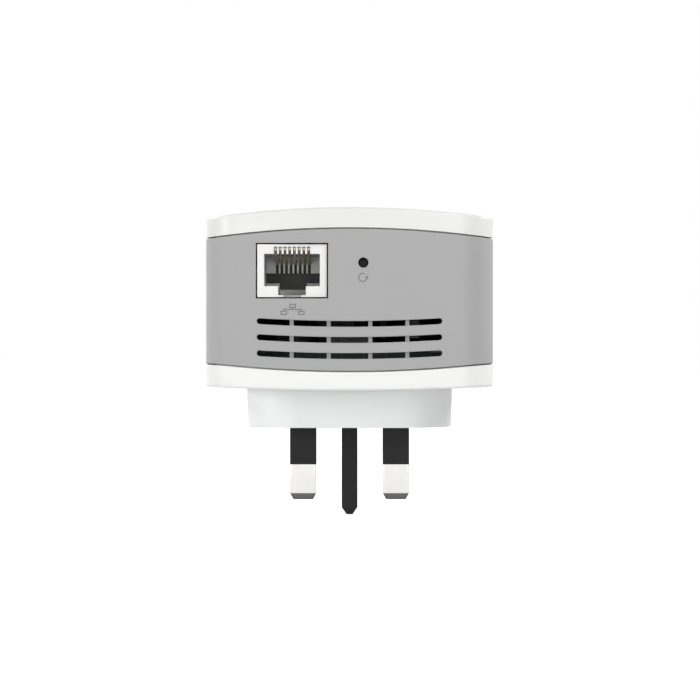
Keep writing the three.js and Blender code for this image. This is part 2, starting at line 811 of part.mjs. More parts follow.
function pinRetainer() {
  const outline = roundedRectangle(retainerHalfWidth, retainerHalfHeight, retainerCornerRadius);
  const plate = prism(outline, 'z', [shoulderTop, retainerTop]);
  const through = [shoulderTop - overrun, retainerTop + overrun];
  return subtractAll(plate, [
    pinHole(lineX, bladeY, tailWidth, tailThickness, fitGap, through),
    pinHole(-lineX, bladeY, tailWidth, tailThickness, fitGap, through),
    pinHole(0, earthY, tailWidth, earthThickness - 2 * shoulderReach, fitGap, through),
    ...retainerScrewPlaces.map((place) => rod('z', place, retainerScrewRadius + screwClearance, through)),
  ]);
}

// Screw with its head's underside at z = 0, shank down, and a cross recess
function screw(headRadius, headHeight, radius, length) {
  const body = turned([[headRadius, headHeight], [headRadius, 0], [radius, 0], [radius, -length]]);
  const half = screwSlotLengthShare * headRadius;
  const recess = [headHeight * (1 - screwSlotDepthShare), headHeight + overrun];
  return subtractAll(body, [
    block(span(0, half), span(0, screwSlotWidth / 2), recess),
    block(span(0, screwSlotWidth / 2), span(0, half), recess),
  ]);
}

function leafSpring() {
  const height = powerBoardRear - tailTop;
  const low = leafThickness / 2;
  const path = [[-leafHalfLength, low], [leafHalfLength, low], [leafHalfLength, height - low],
    [-leafHalfLength, height - low]].map(([x, z]) => new THREE.Vector2(x, z));
  return prism(stripOutline(path, leafThickness), 'y', span(0, leafHalfWidth));
}

// Network port, in its own frame: x from its middle, y from its face, z from the board it hangs on
const ceilingZ = -portRoof - combHeight;
const openingFloorZ = ceilingZ - portOpeningHeight;
const latchFloorZ = openingFloorZ - latchHeight;
const combHalfWidth = (contactCount - 1) / 2 * contactPitch + contactSlotWidth / 2 + combMargin;

function jackHousing() {
  const body = block(span(0, portHalfWidth), [0, portDepth], [-portHeight, 0]);
  const inward = [-overrun, portCavityDepth];
  const cavity = block(span(0, portOpeningWidth / 2), inward, [openingFloorZ, ceilingZ]);
  const latchWay = block(span(0, latchWidth / 2), inward, [latchFloorZ, ceilingZ]);
  const notchRise = [-portHeight - overrun, ceilingZ];
  const notch = block(span(0, latchNotchWidth / 2), [-overrun, latchNotchDepth], notchRise);
  const combFace = block(span(0, combHalfWidth), [-overrun, combRecess], [openingFloorZ, -portRoof]);
  const slots = contactXs.map((x) => block(
    span(x, contactSlotWidth / 2),
    [combRecess / 2, contactTailSetback + contactThickness / 2 + fitGap],
    [ceilingZ - overrun, -portRoof / 2],
  ));
  const ways = contactXs.map((x) => block(
    span(x, contactSlotWidth / 2),
    [combRecess, contactTailSetback + contactThickness / 2 + fitGap],
    [-portRoof - combHeight / 2, overrun],
  ));
  return subtractAll(body, [cavity, latchWay, notch, combFace, ...slots, ...ways]);
}

function jackInsert() {
  const back = portCavityDepth - seatGap;
  const top = ceilingZ - seatGap;
  const across = span(0, portOpeningWidth / 2 - seatGap);
  const body = block(across, [back - insertThickness, back], [ceilingZ - insertHeight, top]);
  return subtractAll(body, contactXs.map((x) => block(
    span(x, contactSlotWidth / 2),
    [back - insertThickness - overrun, back + overrun],
    [ceilingZ - insertHeight - overrun, top - insertBridge],
  )));
}

// Contact: soldered tail, run along the roof, a bend near the face and a springy arm down and back
function jackContact() {
  const slope = THREE.MathUtils.degToRad(contactSlope);
  const bendY = contactBendSetback + contactBendRadius;
  const bendZ = -contactDrop - contactBendRadius;
  const bend = arcPoints(bendY, bendZ, contactBendRadius, Math.PI / 2, 3 * Math.PI / 2 - slope, bendSteps);
  const last = bend.at(-1);
  const tipRun = (last.y + contactTipDrop) / Math.tan(slope);
  const path = [
    new THREE.Vector2(contactTailSetback, -seatGap),
    new THREE.Vector2(contactTailSetback, -contactDrop),
    ...bend,
    new THREE.Vector2(last.x + tipRun, -contactTipDrop),
  ];
  return prism(stripOutline(path, contactThickness), 'x', span(0, contactWidth / 2));
}

// Tact switch, in its own frame: its face at y = 0, hung below the board at z = 0
function switchBody() {
  const body = block(span(0, switchWidth / 2), [0, switchDepth], [-switchHeight, -seatGap]);
  const bore = rod('y', [0, -actuatorDrop], actuatorRadius + actuatorGap, [
    -overrun,
    actuatorSink + fitGap * 2,
  ]);
  return body.subtract(bore);
}

const switchPlunger = () => rod('y', [0, -actuatorDrop], actuatorRadius, [-actuatorReach, actuatorSink]);

// Pairing button, drawn in the casing's own place: cap, flange behind the wall and a stem to the switch
const pairingFlangeX = innerSideX(pairingY + pairingHalfLength + pairingFlangeReach) - fitGap;
const pairingStemX = pairingFlangeX - pairingFlangeThickness - pairingStemLength;

function pairingButton() {
  const capX = bodyHalfWidth - pairingY ** 2 / (2 * sideArcRadius) + pairingProud;
  const cap = prism(pairingOutline(0), 'x', [pairingFlangeX - pairingFlangeThickness / 2, capX]);
  const flange = prism(pairingOutline(pairingFlangeReach), 'x', [
    pairingFlangeX - pairingFlangeThickness, pairingFlangeX]);
  const stem = block(
    [pairingStemX, pairingFlangeX - pairingFlangeThickness / 2],
    span(pairingY, pairingStemHalfWidth),
    span(pairingZ, pairingStemHalfWidth),
  );
  return cap.add(flange).add(stem);
}

// Boards
function mainBoard() {
  const outline = roundedRectangle(mainBoardHalfWidth, mainBoardHalfLength, mainBoardCornerRadius);
  const holes = boardPostPlaces.map((place) =>
    rod('z', place, boardScrewRadius + screwClearance, [-overrun, mainBoardThickness + overrun]));
  return subtractAll(prism(outline, 'z', [0, mainBoardThickness]), holes);
}

function powerBoard() {
  const outline = roundedRectangle(powerBoardHalfWidth, powerBoardHalfLength, powerBoardCornerRadius);
  const holes = stakePlaces.map((place) =>
    rod('z', place, stakeRadius + fitGap, [-overrun, powerBoardThickness + overrun]));
  return subtractAll(prism(outline, 'z', [0, powerBoardThickness]), holes);
}

// Pieces that stand on a board, each with its foot at z = 0
function shieldCan(halfWidth, halfLength) {
  const shell = block(span(0, halfWidth), span(0, halfLength), [0, canHeight]);
  const room = block(
    span(0, halfWidth - canWall), span(0, halfLength - canWall), [-overrun, canHeight - canWall]);
  return shell.subtract(room);
}

const plate = (halfWidth, halfLength, thickness) =>
  block(span(0, halfWidth), span(0, halfLength), [0, thickness]);

function networkMagnetics() {
  const body = block(
    span(0, magneticsHalfWidth), span(0, magneticsHalfLength), [-magneticsHeight, -magneticsLegThickness]);
  const legs = evenRow(magneticsLegs, magneticsLegPitch).map((y) => block(
    span(0, magneticsHalfWidth + magneticsLegReach),
    span(y, magneticsLegHalfWidth),
    [-magneticsLegThickness * 2, 0],
  ));
  return addAll(body, legs);
}

function transformerCore() {
  const frame = block(span(0, coreHalfWidth), span(0, coreHalfThickness), [0, coreHeight]);
  const windowInner = coreCentreLegHalfWidth;
  const windowOuter = coreHalfWidth - coreOuterLeg;
  const through = span(0, coreHalfThickness + overrun);
  const rise = [coreYoke, coreHeight - coreYoke];
  return subtractAll(frame, [
    block([windowInner, windowOuter], through, rise),
    block([-windowOuter, -windowInner], through, rise),
  ]);
}

function transformerWinding() {
  const halfWidth = coreHalfWidth - coreOuterLeg - fitGap;
  const halfLength = coreHalfThickness + windingOverhang;
  const low = coreYoke + fitGap;
  const high = coreHeight - coreYoke - fitGap;
  const coil = block(span(0, halfWidth), span(0, halfLength), [low, high]);
  const bore = block(
    span(0, coreCentreLegHalfWidth + fitGap),
    span(0, coreHalfThickness + fitGap),
    [low - overrun, high + overrun],
  );
  const feet = [-1, 1].map((side) => block(
    span(0, windingFootHalfWidth),
    span(side * (halfLength - windingFootThickness / 2), windingFootThickness / 2),
    [0, low + overrun],
  ));
  return addAll(coil.subtract(bore), feet);
}

function canCapacitor(radius, height) {
  const waist = radius - capacitorGrooveDepth;
  const rim = radius - capacitorRimWidth;
  return turned([
    [rim, height - capacitorRimHeight],
    [rim, height],
    [radius, height - capacitorRimHeight],
    [radius, 2 * capacitorGrooveHeight],
    [waist, 1.5 * capacitorGrooveHeight],
    [radius, capacitorGrooveHeight],
    [radius, 0],
  ]);
}

function mainsFuse() {
  const glass = rod('x', [0, fuseCapRadius], fuseRadius, span(0, fuseHalfLength - fuseCapLength / 2));
  const caps = [-1, 1].map((side) => rod('x', [0, fuseCapRadius], fuseCapRadius, span(
    side * (fuseHalfLength - fuseCapLength / 2), fuseCapLength / 2)));
  return addAll(glass, caps);
}

function mainsChoke() {
  const rings = [
    [chokeOuterRadius - chokeChamfer, chokeHeight],
    [chokeOuterRadius, chokeHeight - chokeChamfer],
    [chokeOuterRadius, chokeChamfer],
    [chokeOuterRadius - chokeChamfer, 0],
    [chokeInnerRadius + chokeChamfer, 0],
    [chokeInnerRadius, chokeChamfer],
    [chokeInnerRadius, chokeHeight - chokeChamfer],
    [chokeInnerRadius + chokeChamfer, chokeHeight],
  ];
  return loft(rings.map(([radius, z]) => flatRing(circle(radius, roundSides), z)), true);
}

// Header that joins the boards: one moulded body with pins through to the main board
function boardLinkHeader() {
  const halfLength = linkPins * linkPitch / 2;
  const body = block(span(0, halfLength), span(0, linkBodyHalfThickness), [0, linkBodyHeight]);
  const pins = evenRow(linkPins, linkPitch).map((x) => block(
    span(x, linkPinHalfWidth),
    span(0, linkPinHalfWidth),
    [linkBodyHeight / 2, mainBoardRear - powerBoardFront],
  ));
  return addAll(body, pins);
}

// Light guide: a bar over the status lights whose prongs end just below the front face
const guideFoot = mainBoardFront + ledHeight + fitGap;
const guideHalfLength = lightXs.at(-1) + guideEndReach;
const guideTop = frontSurface(guideHalfLength, lightY + guideHalfThickness) - frontWall - fitGap;

function lightGuide() {
  const bar = block(
    span(0, guideHalfLength), span(lightY, guideHalfThickness), [guideFoot, guideTop]);
  const halfWidth = windowHalfWidth - windowGap;
  const halfLength = windowHalfLength - windowGap;
  const prongs = lightXs.map((x) => {
    const outline = roundedRectangle(
      halfWidth, halfLength, windowCornerShare * halfWidth, smallCornerSteps, x, lightY);
    const tip = frontSurface(Math.abs(x) + halfWidth, lightY + halfLength) - seatGap;
    return prism(outline, 'z', [guideTop - overrun, tip]);
  });
  return addAll(bar, prongs);
}

// Antenna boards and their leads; side is -1 for the left and 1 for the right
const antennaOuterX = innerSideX(Math.abs(antennaPlaceY) + antennaHalfLength) - seatGap * 2;
const antennaFoot = rearPartingApex + antennaRise;
const antennaCeiling = pairingZ - pairingHalfHeight - pairingFlangeReach - antennaButtonGap;
const antennaHeight = antennaCeiling - antennaFoot;

function antenna(side) {
  const reach = [antennaOuterX - antennaThickness, antennaOuterX];
  return block(
    side > 0 ? reach : [-antennaOuterX, antennaThickness - antennaOuterX],
    span(antennaPlaceY, antennaHalfLength),
    [antennaFoot, antennaFoot + antennaHeight],
  );
}

function antennaLead(side) {
  const startX = antennaOuterX - antennaThickness - seatGap;
  const startZ = antennaFoot + antennaHeight - leadDropAtAntenna;
  const endX = mainBoardHalfWidth - leadBoardInset;
  const endZ = mainBoardRear - seatGap;
  const middle = [(startX + endX) / 2, (antennaPlaceY + leadBoardY) / 2, (startZ + endZ) / 2];
  const route = [
    [startX, antennaPlaceY, startZ],
    [startX - leadRun, antennaPlaceY, startZ],
    [middle[0] - leadSlack / 2, middle[1], middle[2]],
    [endX, leadBoardY, endZ - leadRun],
    [endX, leadBoardY, endZ],
  ].map(([x, y, z]) => new THREE.Vector3(side * x, y, z));
  const geometry = new THREE.ExtrudeGeometry(new THREE.Shape(circle(leadRadius, leadSides)), {
    steps: leadSteps,
    bevelEnabled: false,
    extrudePath: new THREE.CatmullRomCurve3(route),
  });
  return solid(geometry);
}

// Casing
piece('front_cover', frontCover(), whitePlastic);
piece('side_band', sideBand(), bandPlastic);
piece('rear_housing', rearHousing(), whitePlastic);
piece('plug_base', plugBase(), whitePlastic);

// Plug
const lineStation = station(lineX, bladeY, 0);
const neutralStation = station(-lineX, bladeY, 0);
piece('line_pin', metalPin(), nickel, lineStation);
piece('neutral_pin', metalPin(), nickel, neutralStation);
piece('line_pin_sleeve', pinSleeve(), darkPlastic, lineStation);
piece('neutral_pin_sleeve', pinSleeve(), darkPlastic, neutralStation);
piece('earth_pin', earthPin(), darkPlastic, station(0, earthY, 0));
piece('pin_retainer', pinRetainer(), whitePlastic);
retainerScrewPlaces.forEach(([x, y], i) => {
  const form = screw(
    retainerScrewHeadRadius, retainerScrewHeadHeight, retainerScrewRadius, retainerScrewLength);
  piece(`retainer_screw_${i + 1}`, form, steel, station(x, y, retainerTop));
});
piece('line_contact_spring', leafSpring(), gold, station(lineX, bladeY, tailTop));
piece('neutral_contact_spring', leafSpring(), gold, station(-lineX, bladeY, tailTop));

// Network port
const portStation = station(portX, portFaceY, mainBoardRear);
piece('jack_housing', jackHousing(), portPlastic, portStation);
piece('jack_insert', jackInsert(), insertPlastic, portStation);
contactXs.forEach((x, i) => {
  piece(`jack_contact_${i + 1}`, jackContact(), gold, station(x, 0, 0, portStation));
});

// Buttons
const resetStation = station(resetX, resetSwitchSetback - bodyHalfHeight, mainBoardRear);
piece('reset_switch_body', switchBody(), darkPlastic, resetStation);
piece('reset_plunger', switchPlunger(), darkPlastic, resetStation);
const pairingStation = station(pairingStemX - actuatorReach, pairingY, mainBoardRear);
pairingStation.rotation.z = Math.PI / 2;
piece('wps_switch_body', switchBody(), darkPlastic, pairingStation);
piece('wps_plunger', switchPlunger(), darkPlastic, pairingStation);
piece('wps_button', pairingButton(), bandPlastic);

// Main board and what it carries
piece('main_board', mainBoard(), boardLaminate, station(0, 0, mainBoardRear));
boardPostPlaces.forEach(([x, y], i) => {
  const form = screw(
    boardScrewHeadRadius, boardScrewHeadHeight, boardScrewRadius, boardScrewGrip + mainBoardThickness);
  const place = station(x, y, mainBoardRear - seatGap);
  place.rotation.x = Math.PI;
  piece(`board_screw_${i + 1}`, form, steel, place);
});
const mainCanY = mainCanPlaceShare * mainBoardHalfLength;
piece('shield_can_main', shieldCan(mainCanHalfWidth, mainCanHalfLength), steel,
  station(0, mainCanY, mainBoardFront));
piece('thermal_pad', plate(padHalfWidth, padHalfWidth, padThickness), padRubber,
  station(0, mainCanY, mainBoardFront + canHeight));
piece('heat_spreader', plate(spreaderHalfWidth, spreaderHalfLength, spreaderThickness), aluminium,
  station(0, mainCanY, mainBoardFront + canHeight + padThickness));
piece('shield_can_radio', shieldCan(radioCanHalfWidth, radioCanHalfLength), steel,
  station(0, radioCanPlaceShare * mainBoardHalfLength, mainBoardFront));
piece('network_transformer', networkMagnetics(), darkPlastic,
  station(portX, portFaceY + portDepth + magneticsPortGap + magneticsHalfLength, mainBoardRear));
lightXs.forEach((x, i) => {
  piece(`status_led_${i + 1}`, plate(ledHalfWidth, ledHalfLength, ledHeight), ledLens,
    station(x, lightY, mainBoardFront));
});
piece('light_guide', lightGuide(), clearPlastic);

// Antennas
piece('antenna_left', antenna(-1), boardLaminate);
piece('antenna_right', antenna(1), boardLaminate);
piece('antenna_lead_left', antennaLead(-1), leadJacket);
piece('antenna_lead_right', antennaLead(1), leadJacket);

// Power board and what it carries
const onPowerBoard = ([shareX, shareY]) =>
  station(shareX * powerBoardHalfWidth, shareY * powerBoardHalfLength, powerBoardFront);
piece('power_board', powerBoard(), boardLaminate, station(0, 0, powerBoardRear));
piece('transformer_core', transformerCore(), ferrite, onPowerBoard(corePlaceShares));
piece('transformer_winding', transformerWinding(), tape, onPowerBoard(corePlaceShares));
bulkCapacitorPlaceShares.forEach((shares, i) => {
  piece(`bulk_capacitor_${i + 1}`, canCapacitor(bulkCapacitorRadius, bulkCapacitorHeight), capacitorSleeve,
    onPowerBoard(shares));
});
piece('output_capacitor', canCapacitor(outputCapacitorRadius, outputCapacitorHeight), capacitorSleeve,
  onPowerBoard(outputCapacitorPlaceShares));
piece('bridge_rectifier', plate(rectifierHalfWidth, rectifierHalfLength, rectifierHeight), darkPlastic,
  onPowerBoard(rectifierPlaceShares));
piece('mains_fuse', mainsFuse(), fuseGlass, onPowerBoard(fusePlaceShares));
piece('mains_choke', mainsChoke(), ferrite, onPowerBoard(chokePlaceShares));
piece('board_link_header', boardLinkHeader(), darkPlastic, onPowerBoard(linkPlaceShares));

export default extender;
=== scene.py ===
import json
import math

import bmesh
import bpy
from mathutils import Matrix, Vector


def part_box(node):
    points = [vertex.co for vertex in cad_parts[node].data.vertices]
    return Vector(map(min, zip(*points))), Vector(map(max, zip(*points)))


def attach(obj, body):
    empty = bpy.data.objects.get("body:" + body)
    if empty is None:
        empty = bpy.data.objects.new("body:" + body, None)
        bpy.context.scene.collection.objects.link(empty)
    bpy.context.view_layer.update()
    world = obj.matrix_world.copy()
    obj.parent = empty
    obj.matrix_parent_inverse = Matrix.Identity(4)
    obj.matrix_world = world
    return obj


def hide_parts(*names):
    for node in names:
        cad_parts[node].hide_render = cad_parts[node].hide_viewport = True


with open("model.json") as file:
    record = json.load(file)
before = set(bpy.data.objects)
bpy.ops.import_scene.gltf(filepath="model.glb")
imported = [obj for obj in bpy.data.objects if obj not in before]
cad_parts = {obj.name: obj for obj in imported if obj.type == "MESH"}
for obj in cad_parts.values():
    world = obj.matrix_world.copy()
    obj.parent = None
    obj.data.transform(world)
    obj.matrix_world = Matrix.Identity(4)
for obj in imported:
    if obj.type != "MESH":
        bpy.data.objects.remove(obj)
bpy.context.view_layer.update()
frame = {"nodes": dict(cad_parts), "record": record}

nodes = frame["nodes"]
record = frame["record"]
slot_of = {part["node"]: part["material_slot"] for part in record["subparts"]}
body_of = {node: body for body, members in record["behaviour"]["bodies"].items() for node in members}

# Sizes below are in millimetres, and a shape turns to metres when its mesh is made
MM = 0.001


def box_mm(name):
    low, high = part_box(name)
    return low / MM, high / MM


band_high = box_mm("side_band")[1]
cover_high = box_mm("front_cover")[1]
base_high = box_mm("plug_base")[1]
port_low, port_high = box_mm("jack_housing")
insert_low, insert_high = box_mm("jack_insert")
board_high = box_mm("main_board")[1]
power_low, power_high = box_mm("power_board")
line_low, line_high = box_mm("line_pin")
earth_low, earth_high = box_mm("earth_pin")
sleeve_low = box_mm("line_pin_sleeve")[0]
button_low, button_high = box_mm("wps_button")
plunger_low, plunger_high = box_mm("reset_plunger")
guide_low, guide_high = box_mm("light_guide")

# Casing outline, seen from the front
HALF_WIDTH = band_high.x
HALF_HEIGHT = band_high.y
SIDE_ARC = 1500
END_ARC = 200
CORNER = 9
SIDE_ARC_X = HALF_WIDTH - SIDE_ARC
END_ARC_Y = HALF_HEIGHT - END_ARC
SIDE_STEPS = 12
END_STEPS = 30
CORNER_STEPS = 14
FACE_RINGS = 12
BAND_LEVELS = 4

# Casing depth, walls and fits
FRONT_APEX = cover_high.z
STAND_OFF = 8.5
FRONT_RIM = 4.51
REAR_RIM = 3.46
FRONT_CROWN = (213, 1160)
REAR_CROWN = (585, 2319)
REAR_PARTING_BOW = (250, 1546)
SIDE_WALL = 2
FRONT_WALL = 2.2
REAR_WALL = 2
PARTING_GAP = 0.3
FIT_GAP = 0.3
LIP_INSET = SIDE_WALL + FIT_GAP
ROOM_INSET = LIP_INSET + 1
LIP_REACH = 2
EDGE_RADIUS = 0.5
EDGE_STEPS = 5
OVERRUN = 1

# How near a point counts as on a plane, as the same (in metres), on the outer wall, on a rim or in a mouth
CLOSE = 0.01
MERGED = 1e-7
ON_WALL = 0.05
ON_RIM = 0.2
IN_MOUTH = 0.1

# How far moulded edges are eased, and the turn from which an edge counts as one
EASED = 0.12
EASED_FINE = 0.07
EASED_SHARP = 0.03
EASED_CONTACT = 0.04
EASED_PLUNGER = 0.2
EASED_CAP = 0.3
EDGE_TURN = math.radians(40)

# Vent slots
VENT_ROWS = 3
VENT_PITCH = 3.475
VENT_FIRST_RISE = 4.85
VENT_HALF_HEIGHT = 0.625
VENT_HALF_LENGTH = 20.08
VENT_BOW = 318
VENT_RIB_HALF_WIDTH = 0.43
VENT_RIB_RECESS = 1.2
VENT_RIB_SHARES = (-0.624, -0.224, 0.224, 0.624)
VENT_STATION = 1.2
VENT_END_TURNS = [math.radians(a) for a in (20, 40, 60, 78, 88)]

# Plug base
BASE_CORNER = 12
BASE_DRAFT = 0.25
BASE_WALL = 2.5
BASE_FACE_WALL = 3
BASE_EDGE = 0.4
FLANGE_REACH = 2
FLANGE_THICKNESS = 1.6
BASE_HALF_WIDTH = base_high.x - FLANGE_REACH
BASE_HALF_HEIGHT = base_high.y - FLANGE_REACH
FLANGE_TOP = base_high.z
FLANGE_SEAT = FLANGE_TOP - FLANGE_THICKNESS

# Pins, each blade a width and a thickness
BLADE = (6.35, 3.97)
BLADE_TIP_INSET = 0.8
BLADE_TIP_HEIGHT = 1.55
EARTH = (3.97, 7.92)
EARTH_TIP_INSET = 1.2
EARTH_TIP_HEIGHT = 1.8
TIP_LEAN = -0.3
PIN_CORNER = 0.45
PIN_HOLE_GAP = 0.15
SLEEVE_WALL = 0.75
SHOULDER_REACH = 1.1
SHOULDER_TOP = 5
TAIL_WIDTH = 3.2
TAIL_THICKNESS = 2.2
SEAT_GAP = 0.05
LINE_X = (line_low.x + line_high.x) / 2
BLADE_Y = (line_low.y + line_high.y) / 2
EARTH_Y = (earth_low.y + earth_high.y) / 2
SLEEVE_END = sleeve_low.z

# Screw bosses of the plug base, posts of the front cover and stakes of the rear housing
BASE_BOSSES = ((-10.5, 3.5), (10.5, 3.5))
BASE_BOSS_RADIUS = 2.8
BASE_PILOT_RADIUS = 1.15
BASE_PILOT_FOOT = 1.9
POST_RADIUS = 2.6
POST_PILOT_RADIUS = 1.05
POST_GRIP = 3.7
STAKE_BOSS_RADIUS = 2.6
STAKE_RADIUS = 1.1
STAKE_HEAD_RADIUS = 1.9
STAKE_HEAD_HEIGHT = 0.9
STAKE_INSET = 5
STAKE_TOP_DROP = 0.4

# Network port, with heights measured down from the board that it hangs on
PORT_X = (port_low.x + port_high.x) / 2
PORT_FACE = port_low.y
PORT_ROOF = port_high.z
PORT_HALF_WIDTH = (port_high.x - port_low.x) / 2
PORT_HALF_OPENING = 6.015
PORT_HOLE_GAP = 0.29
PORT_CEILING = PORT_ROOF - 2.07
PORT_FLOOR = PORT_CEILING - 6.99
LATCH_FLOOR = PORT_FLOOR - 1.94
LATCH_HALF_WIDTH = 3
NOTCH_HALF_WIDTH = 1.9
NOTCH_DEPTH = 1.5
CAVITY_DEPTH = 13
COMB_RECESS = 0.6
COMB_HALF_WIDTH = 4
COMB_CEILING = PORT_ROOF - 0.53
SLOT_CEILING = PORT_ROOF - 0.265
WAY_FLOOR = PORT_ROOF - 1.3
CONTACTS = 8
CONTACT_PITCH = 1.02
CONTACT_HALF_WIDTH = 0.225
CONTACT_THICKNESS = 0.25
CONTACT_SLOT_HALF_WIDTH = 0.3
CONTACT_DROP = 0.45
CONTACT_BEND_SETBACK = 1.2
CONTACT_BEND = 0.45
CONTACT_SLOPE = math.radians(13.2)
CONTACT_TIP_DROP = 3.95
CONTACT_TAIL = 13.9
INSERT_BRIDGE = 0.7
LEDGE_RISE = 0.95
LATCH_LEDGE_RISE = 1.45

# Buttons, pinhole and status windows
RESET_X = (plunger_low.x + plunger_high.x) / 2
RESET_Z = (plunger_low.z + plunger_high.z) / 2
RESET_HOLE_RADIUS = 1.1
BUTTON_FLANGE = 1
BUTTON_FLANGE_THICKNESS = 1
BUTTON_STEM = 1
BUTTON_STEM_HALF_WIDTH = 1.2
BUTTON_OVERLAP = 0.5
BUTTON_HOLE_GAP = 0.2
BUTTON_CORNER_SHARE = 0.85
BUTTON_Y = (button_low.y + button_high.y) / 2
BUTTON_Z = (button_low.z + button_high.z) / 2
BUTTON_HALF_LENGTH = (button_high.y - button_low.y) / 2 - BUTTON_FLANGE
BUTTON_HALF_HEIGHT = (button_high.z - button_low.z) / 2 - BUTTON_FLANGE
LIGHTS = 4
LIGHT_PITCH = 8
LIGHT_Y = (guide_low.y + guide_high.y) / 2
WINDOW_HALF_WIDTH = 0.8
WINDOW_HALF_LENGTH = 1.3
WINDOW_GAP = 0.1
WINDOW_CORNER_SHARE = 0.9

# Printed marks on the band: linked boxes by the port and a turning arrow by the pinhole
INK_PROUD = 0.03
INK_SUNK = 0.04
STROKE = 0.24
NETWORK_MARK = (-12.3, 26.9)
NETWORK_BOX = (0.72, 0.46)
NETWORK_REACH = 1.9
NETWORK_RISE = 0.75
RESET_MARK = (2.87, 33.8)
RESET_MARK_RADIUS = 1
RESET_MARK_TURN = (math.radians(65), math.radians(360), 30)
ARROW_HALF_WIDTH = 0.42
ARROW_FOOT = 0.2
ARROW_TIP = 0.45


# Shapes
def arc(centre, radius, start, end, steps, whole=False):
    """Points along an arc, its last one left to what follows unless the arc is whole."""
    angles = [start + (end - start) * i / steps for i in range(steps + whole)]
    return [(centre[0] + radius * math.cos(a), centre[1] + radius * math.sin(a)) for a in angles]


CORNER_SIDES = ((1, 1), (-1, 1), (-1, -1), (1, -1))


def rounded_rectangle(half_u, half_v, radius, steps=8, centre=(0, 0)):
    outline = []
    for quarter, (side_u, side_v) in enumerate(CORNER_SIDES):
        middle = (centre[0] + side_u * (half_u - radius), centre[1] + side_v * (half_v - radius))
        start = quarter * math.pi / 2
        outline += arc(middle, radius, start, start + math.pi / 2, steps, whole=True)
    return outline


def circle(radius, centre, sides):
    return arc(centre, radius, 0, 2 * math.pi, sides)


def corner_centre():
    """Where a corner circle lies that touches both the side arc and the end arc."""
    from_side = SIDE_ARC - CORNER
    from_end = END_ARC - CORNER
    apart = math.hypot(SIDE_ARC_X, END_ARC_Y)
    along = (from_side ** 2 - from_end ** 2 + apart ** 2) / (2 * apart)
    off = math.sqrt(from_side ** 2 - along ** 2)
    toward = Vector((-SIDE_ARC_X, END_ARC_Y)) / apart
    square = Vector((-toward.y, toward.x))
    return Vector((SIDE_ARC_X, 0)) + toward * along + square * off


corner = corner_centre()
side_angle = math.atan2(corner.y, corner.x - SIDE_ARC_X)
end_angle = math.atan2(corner.x, corner.y - END_ARC_Y)


def casing_outline(inset):
    """The casing's outline drawn in by an inset, point by point alike for every inset."""
    quarter = math.pi / 2
    half = arc((SIDE_ARC_X, 0), SIDE_ARC - inset, -side_angle, side_angle, SIDE_STEPS)
    half += arc(corner, CORNER - inset, side_angle, quarter - end_angle, CORNER_STEPS)
    half += arc((0, END_ARC_Y), END_ARC - inset, quarter - end_angle, quarter + end_angle, END_STEPS)
    half += arc((-corner.x, corner.y), CORNER - inset, quarter + end_angle, math.pi - side_angle,
                CORNER_STEPS)
    return half + [(-x, -y) for x, y in half]


def wall_depth(x, y):
    """How far inside the casing's outer wall a point lies."""
    x, y = abs(x), abs(y)
    if math.atan2(y, x - SIDE_ARC_X) <= side_angle:
        return SIDE_ARC - math.hypot(x - SIDE_ARC_X, y)
    if math.atan2(x, y - END_ARC_Y) <= end_angle:
        return END_ARC - math.hypot(x, y - END_ARC_Y)
    return CORNER - math.hypot(x - corner.x, y - corner.y)


def end_wall(x):
    return HALF_HEIGHT - x * x / (2 * END_ARC)


def crowned(apex, radii, sign):
    across, along = radii
    return lambda x, y: apex + sign * (x * x / (2 * across) + y * y / (2 * along))


front_face = crowned(FRONT_APEX, FRONT_CROWN, -1)
front_parting = crowned(FRONT_APEX - FRONT_RIM, FRONT_CROWN, -1)
rear_parting = crowned(STAND_OFF + REAR_RIM, REAR_PARTING_BOW, 1)
rear_face = crowned(STAND_OFF, REAR_CROWN, 1)


def casing_ring(inset, face, rise=0, share=1):
    outline = [(x * share, y * share) for x, y in casing_outline(inset)]
    return [Vector((x, y, face(x, y) + rise)) for x, y in outline]


def face_rings(inset, face, rise=0):
    """Rings of a crowned face, from its middle to its edge."""
    rings = [casing_ring(inset, face, rise, (i + 1) / FACE_RINGS) for i in range(FACE_RINGS)]
    return [[Vector((0, 0, face(0, 0) + rise))]] + rings


def rounded_edge(face, sign):
    """Rings round the edge from a crowned face to the casing's side."""
    turns = [(i + 1) / EDGE_STEPS * math.pi / 2 for i in range(EDGE_STEPS)]
    return [casing_ring(EDGE_RADIUS * (1 - math.sin(a)), face, sign * EDGE_RADIUS * (1 - math.cos(a)))
            for a in turns]


def lip_rings(face, sign):
    """Rings from the outer edge of a parting, over the lip that stands inside the band."""
    gap = PARTING_GAP / 2
    return [casing_ring(inset, face, sign * rise) for inset, rise in (
        (0, gap), (LIP_INSET, gap), (LIP_INSET, -LIP_REACH), (ROOM_INSET, -LIP_REACH))]


def flat_ring(outline, z):
    return [Vector((x, y, z)) for x, y in outline]


def placed(name, data, place=(0, 0, 0), turn=(0, 0, 0)):
    made = bpy.data.objects.new(name, data)
    bpy.context.scene.collection.objects.link(made)
    made.location = place
    made.rotation_euler = turn
    return made


def piece_of(name, shape):
    """Turns a shape in millimetres into an object in metres, its faces outward."""
    bmesh.ops.recalc_face_normals(shape, faces=shape.faces)
    bmesh.ops.scale(shape, vec=(MM, MM, MM), verts=shape.verts)
    mesh = bpy.data.meshes.new(name)
    shape.to_mesh(mesh)
    shape.free()
    return placed(name, mesh)


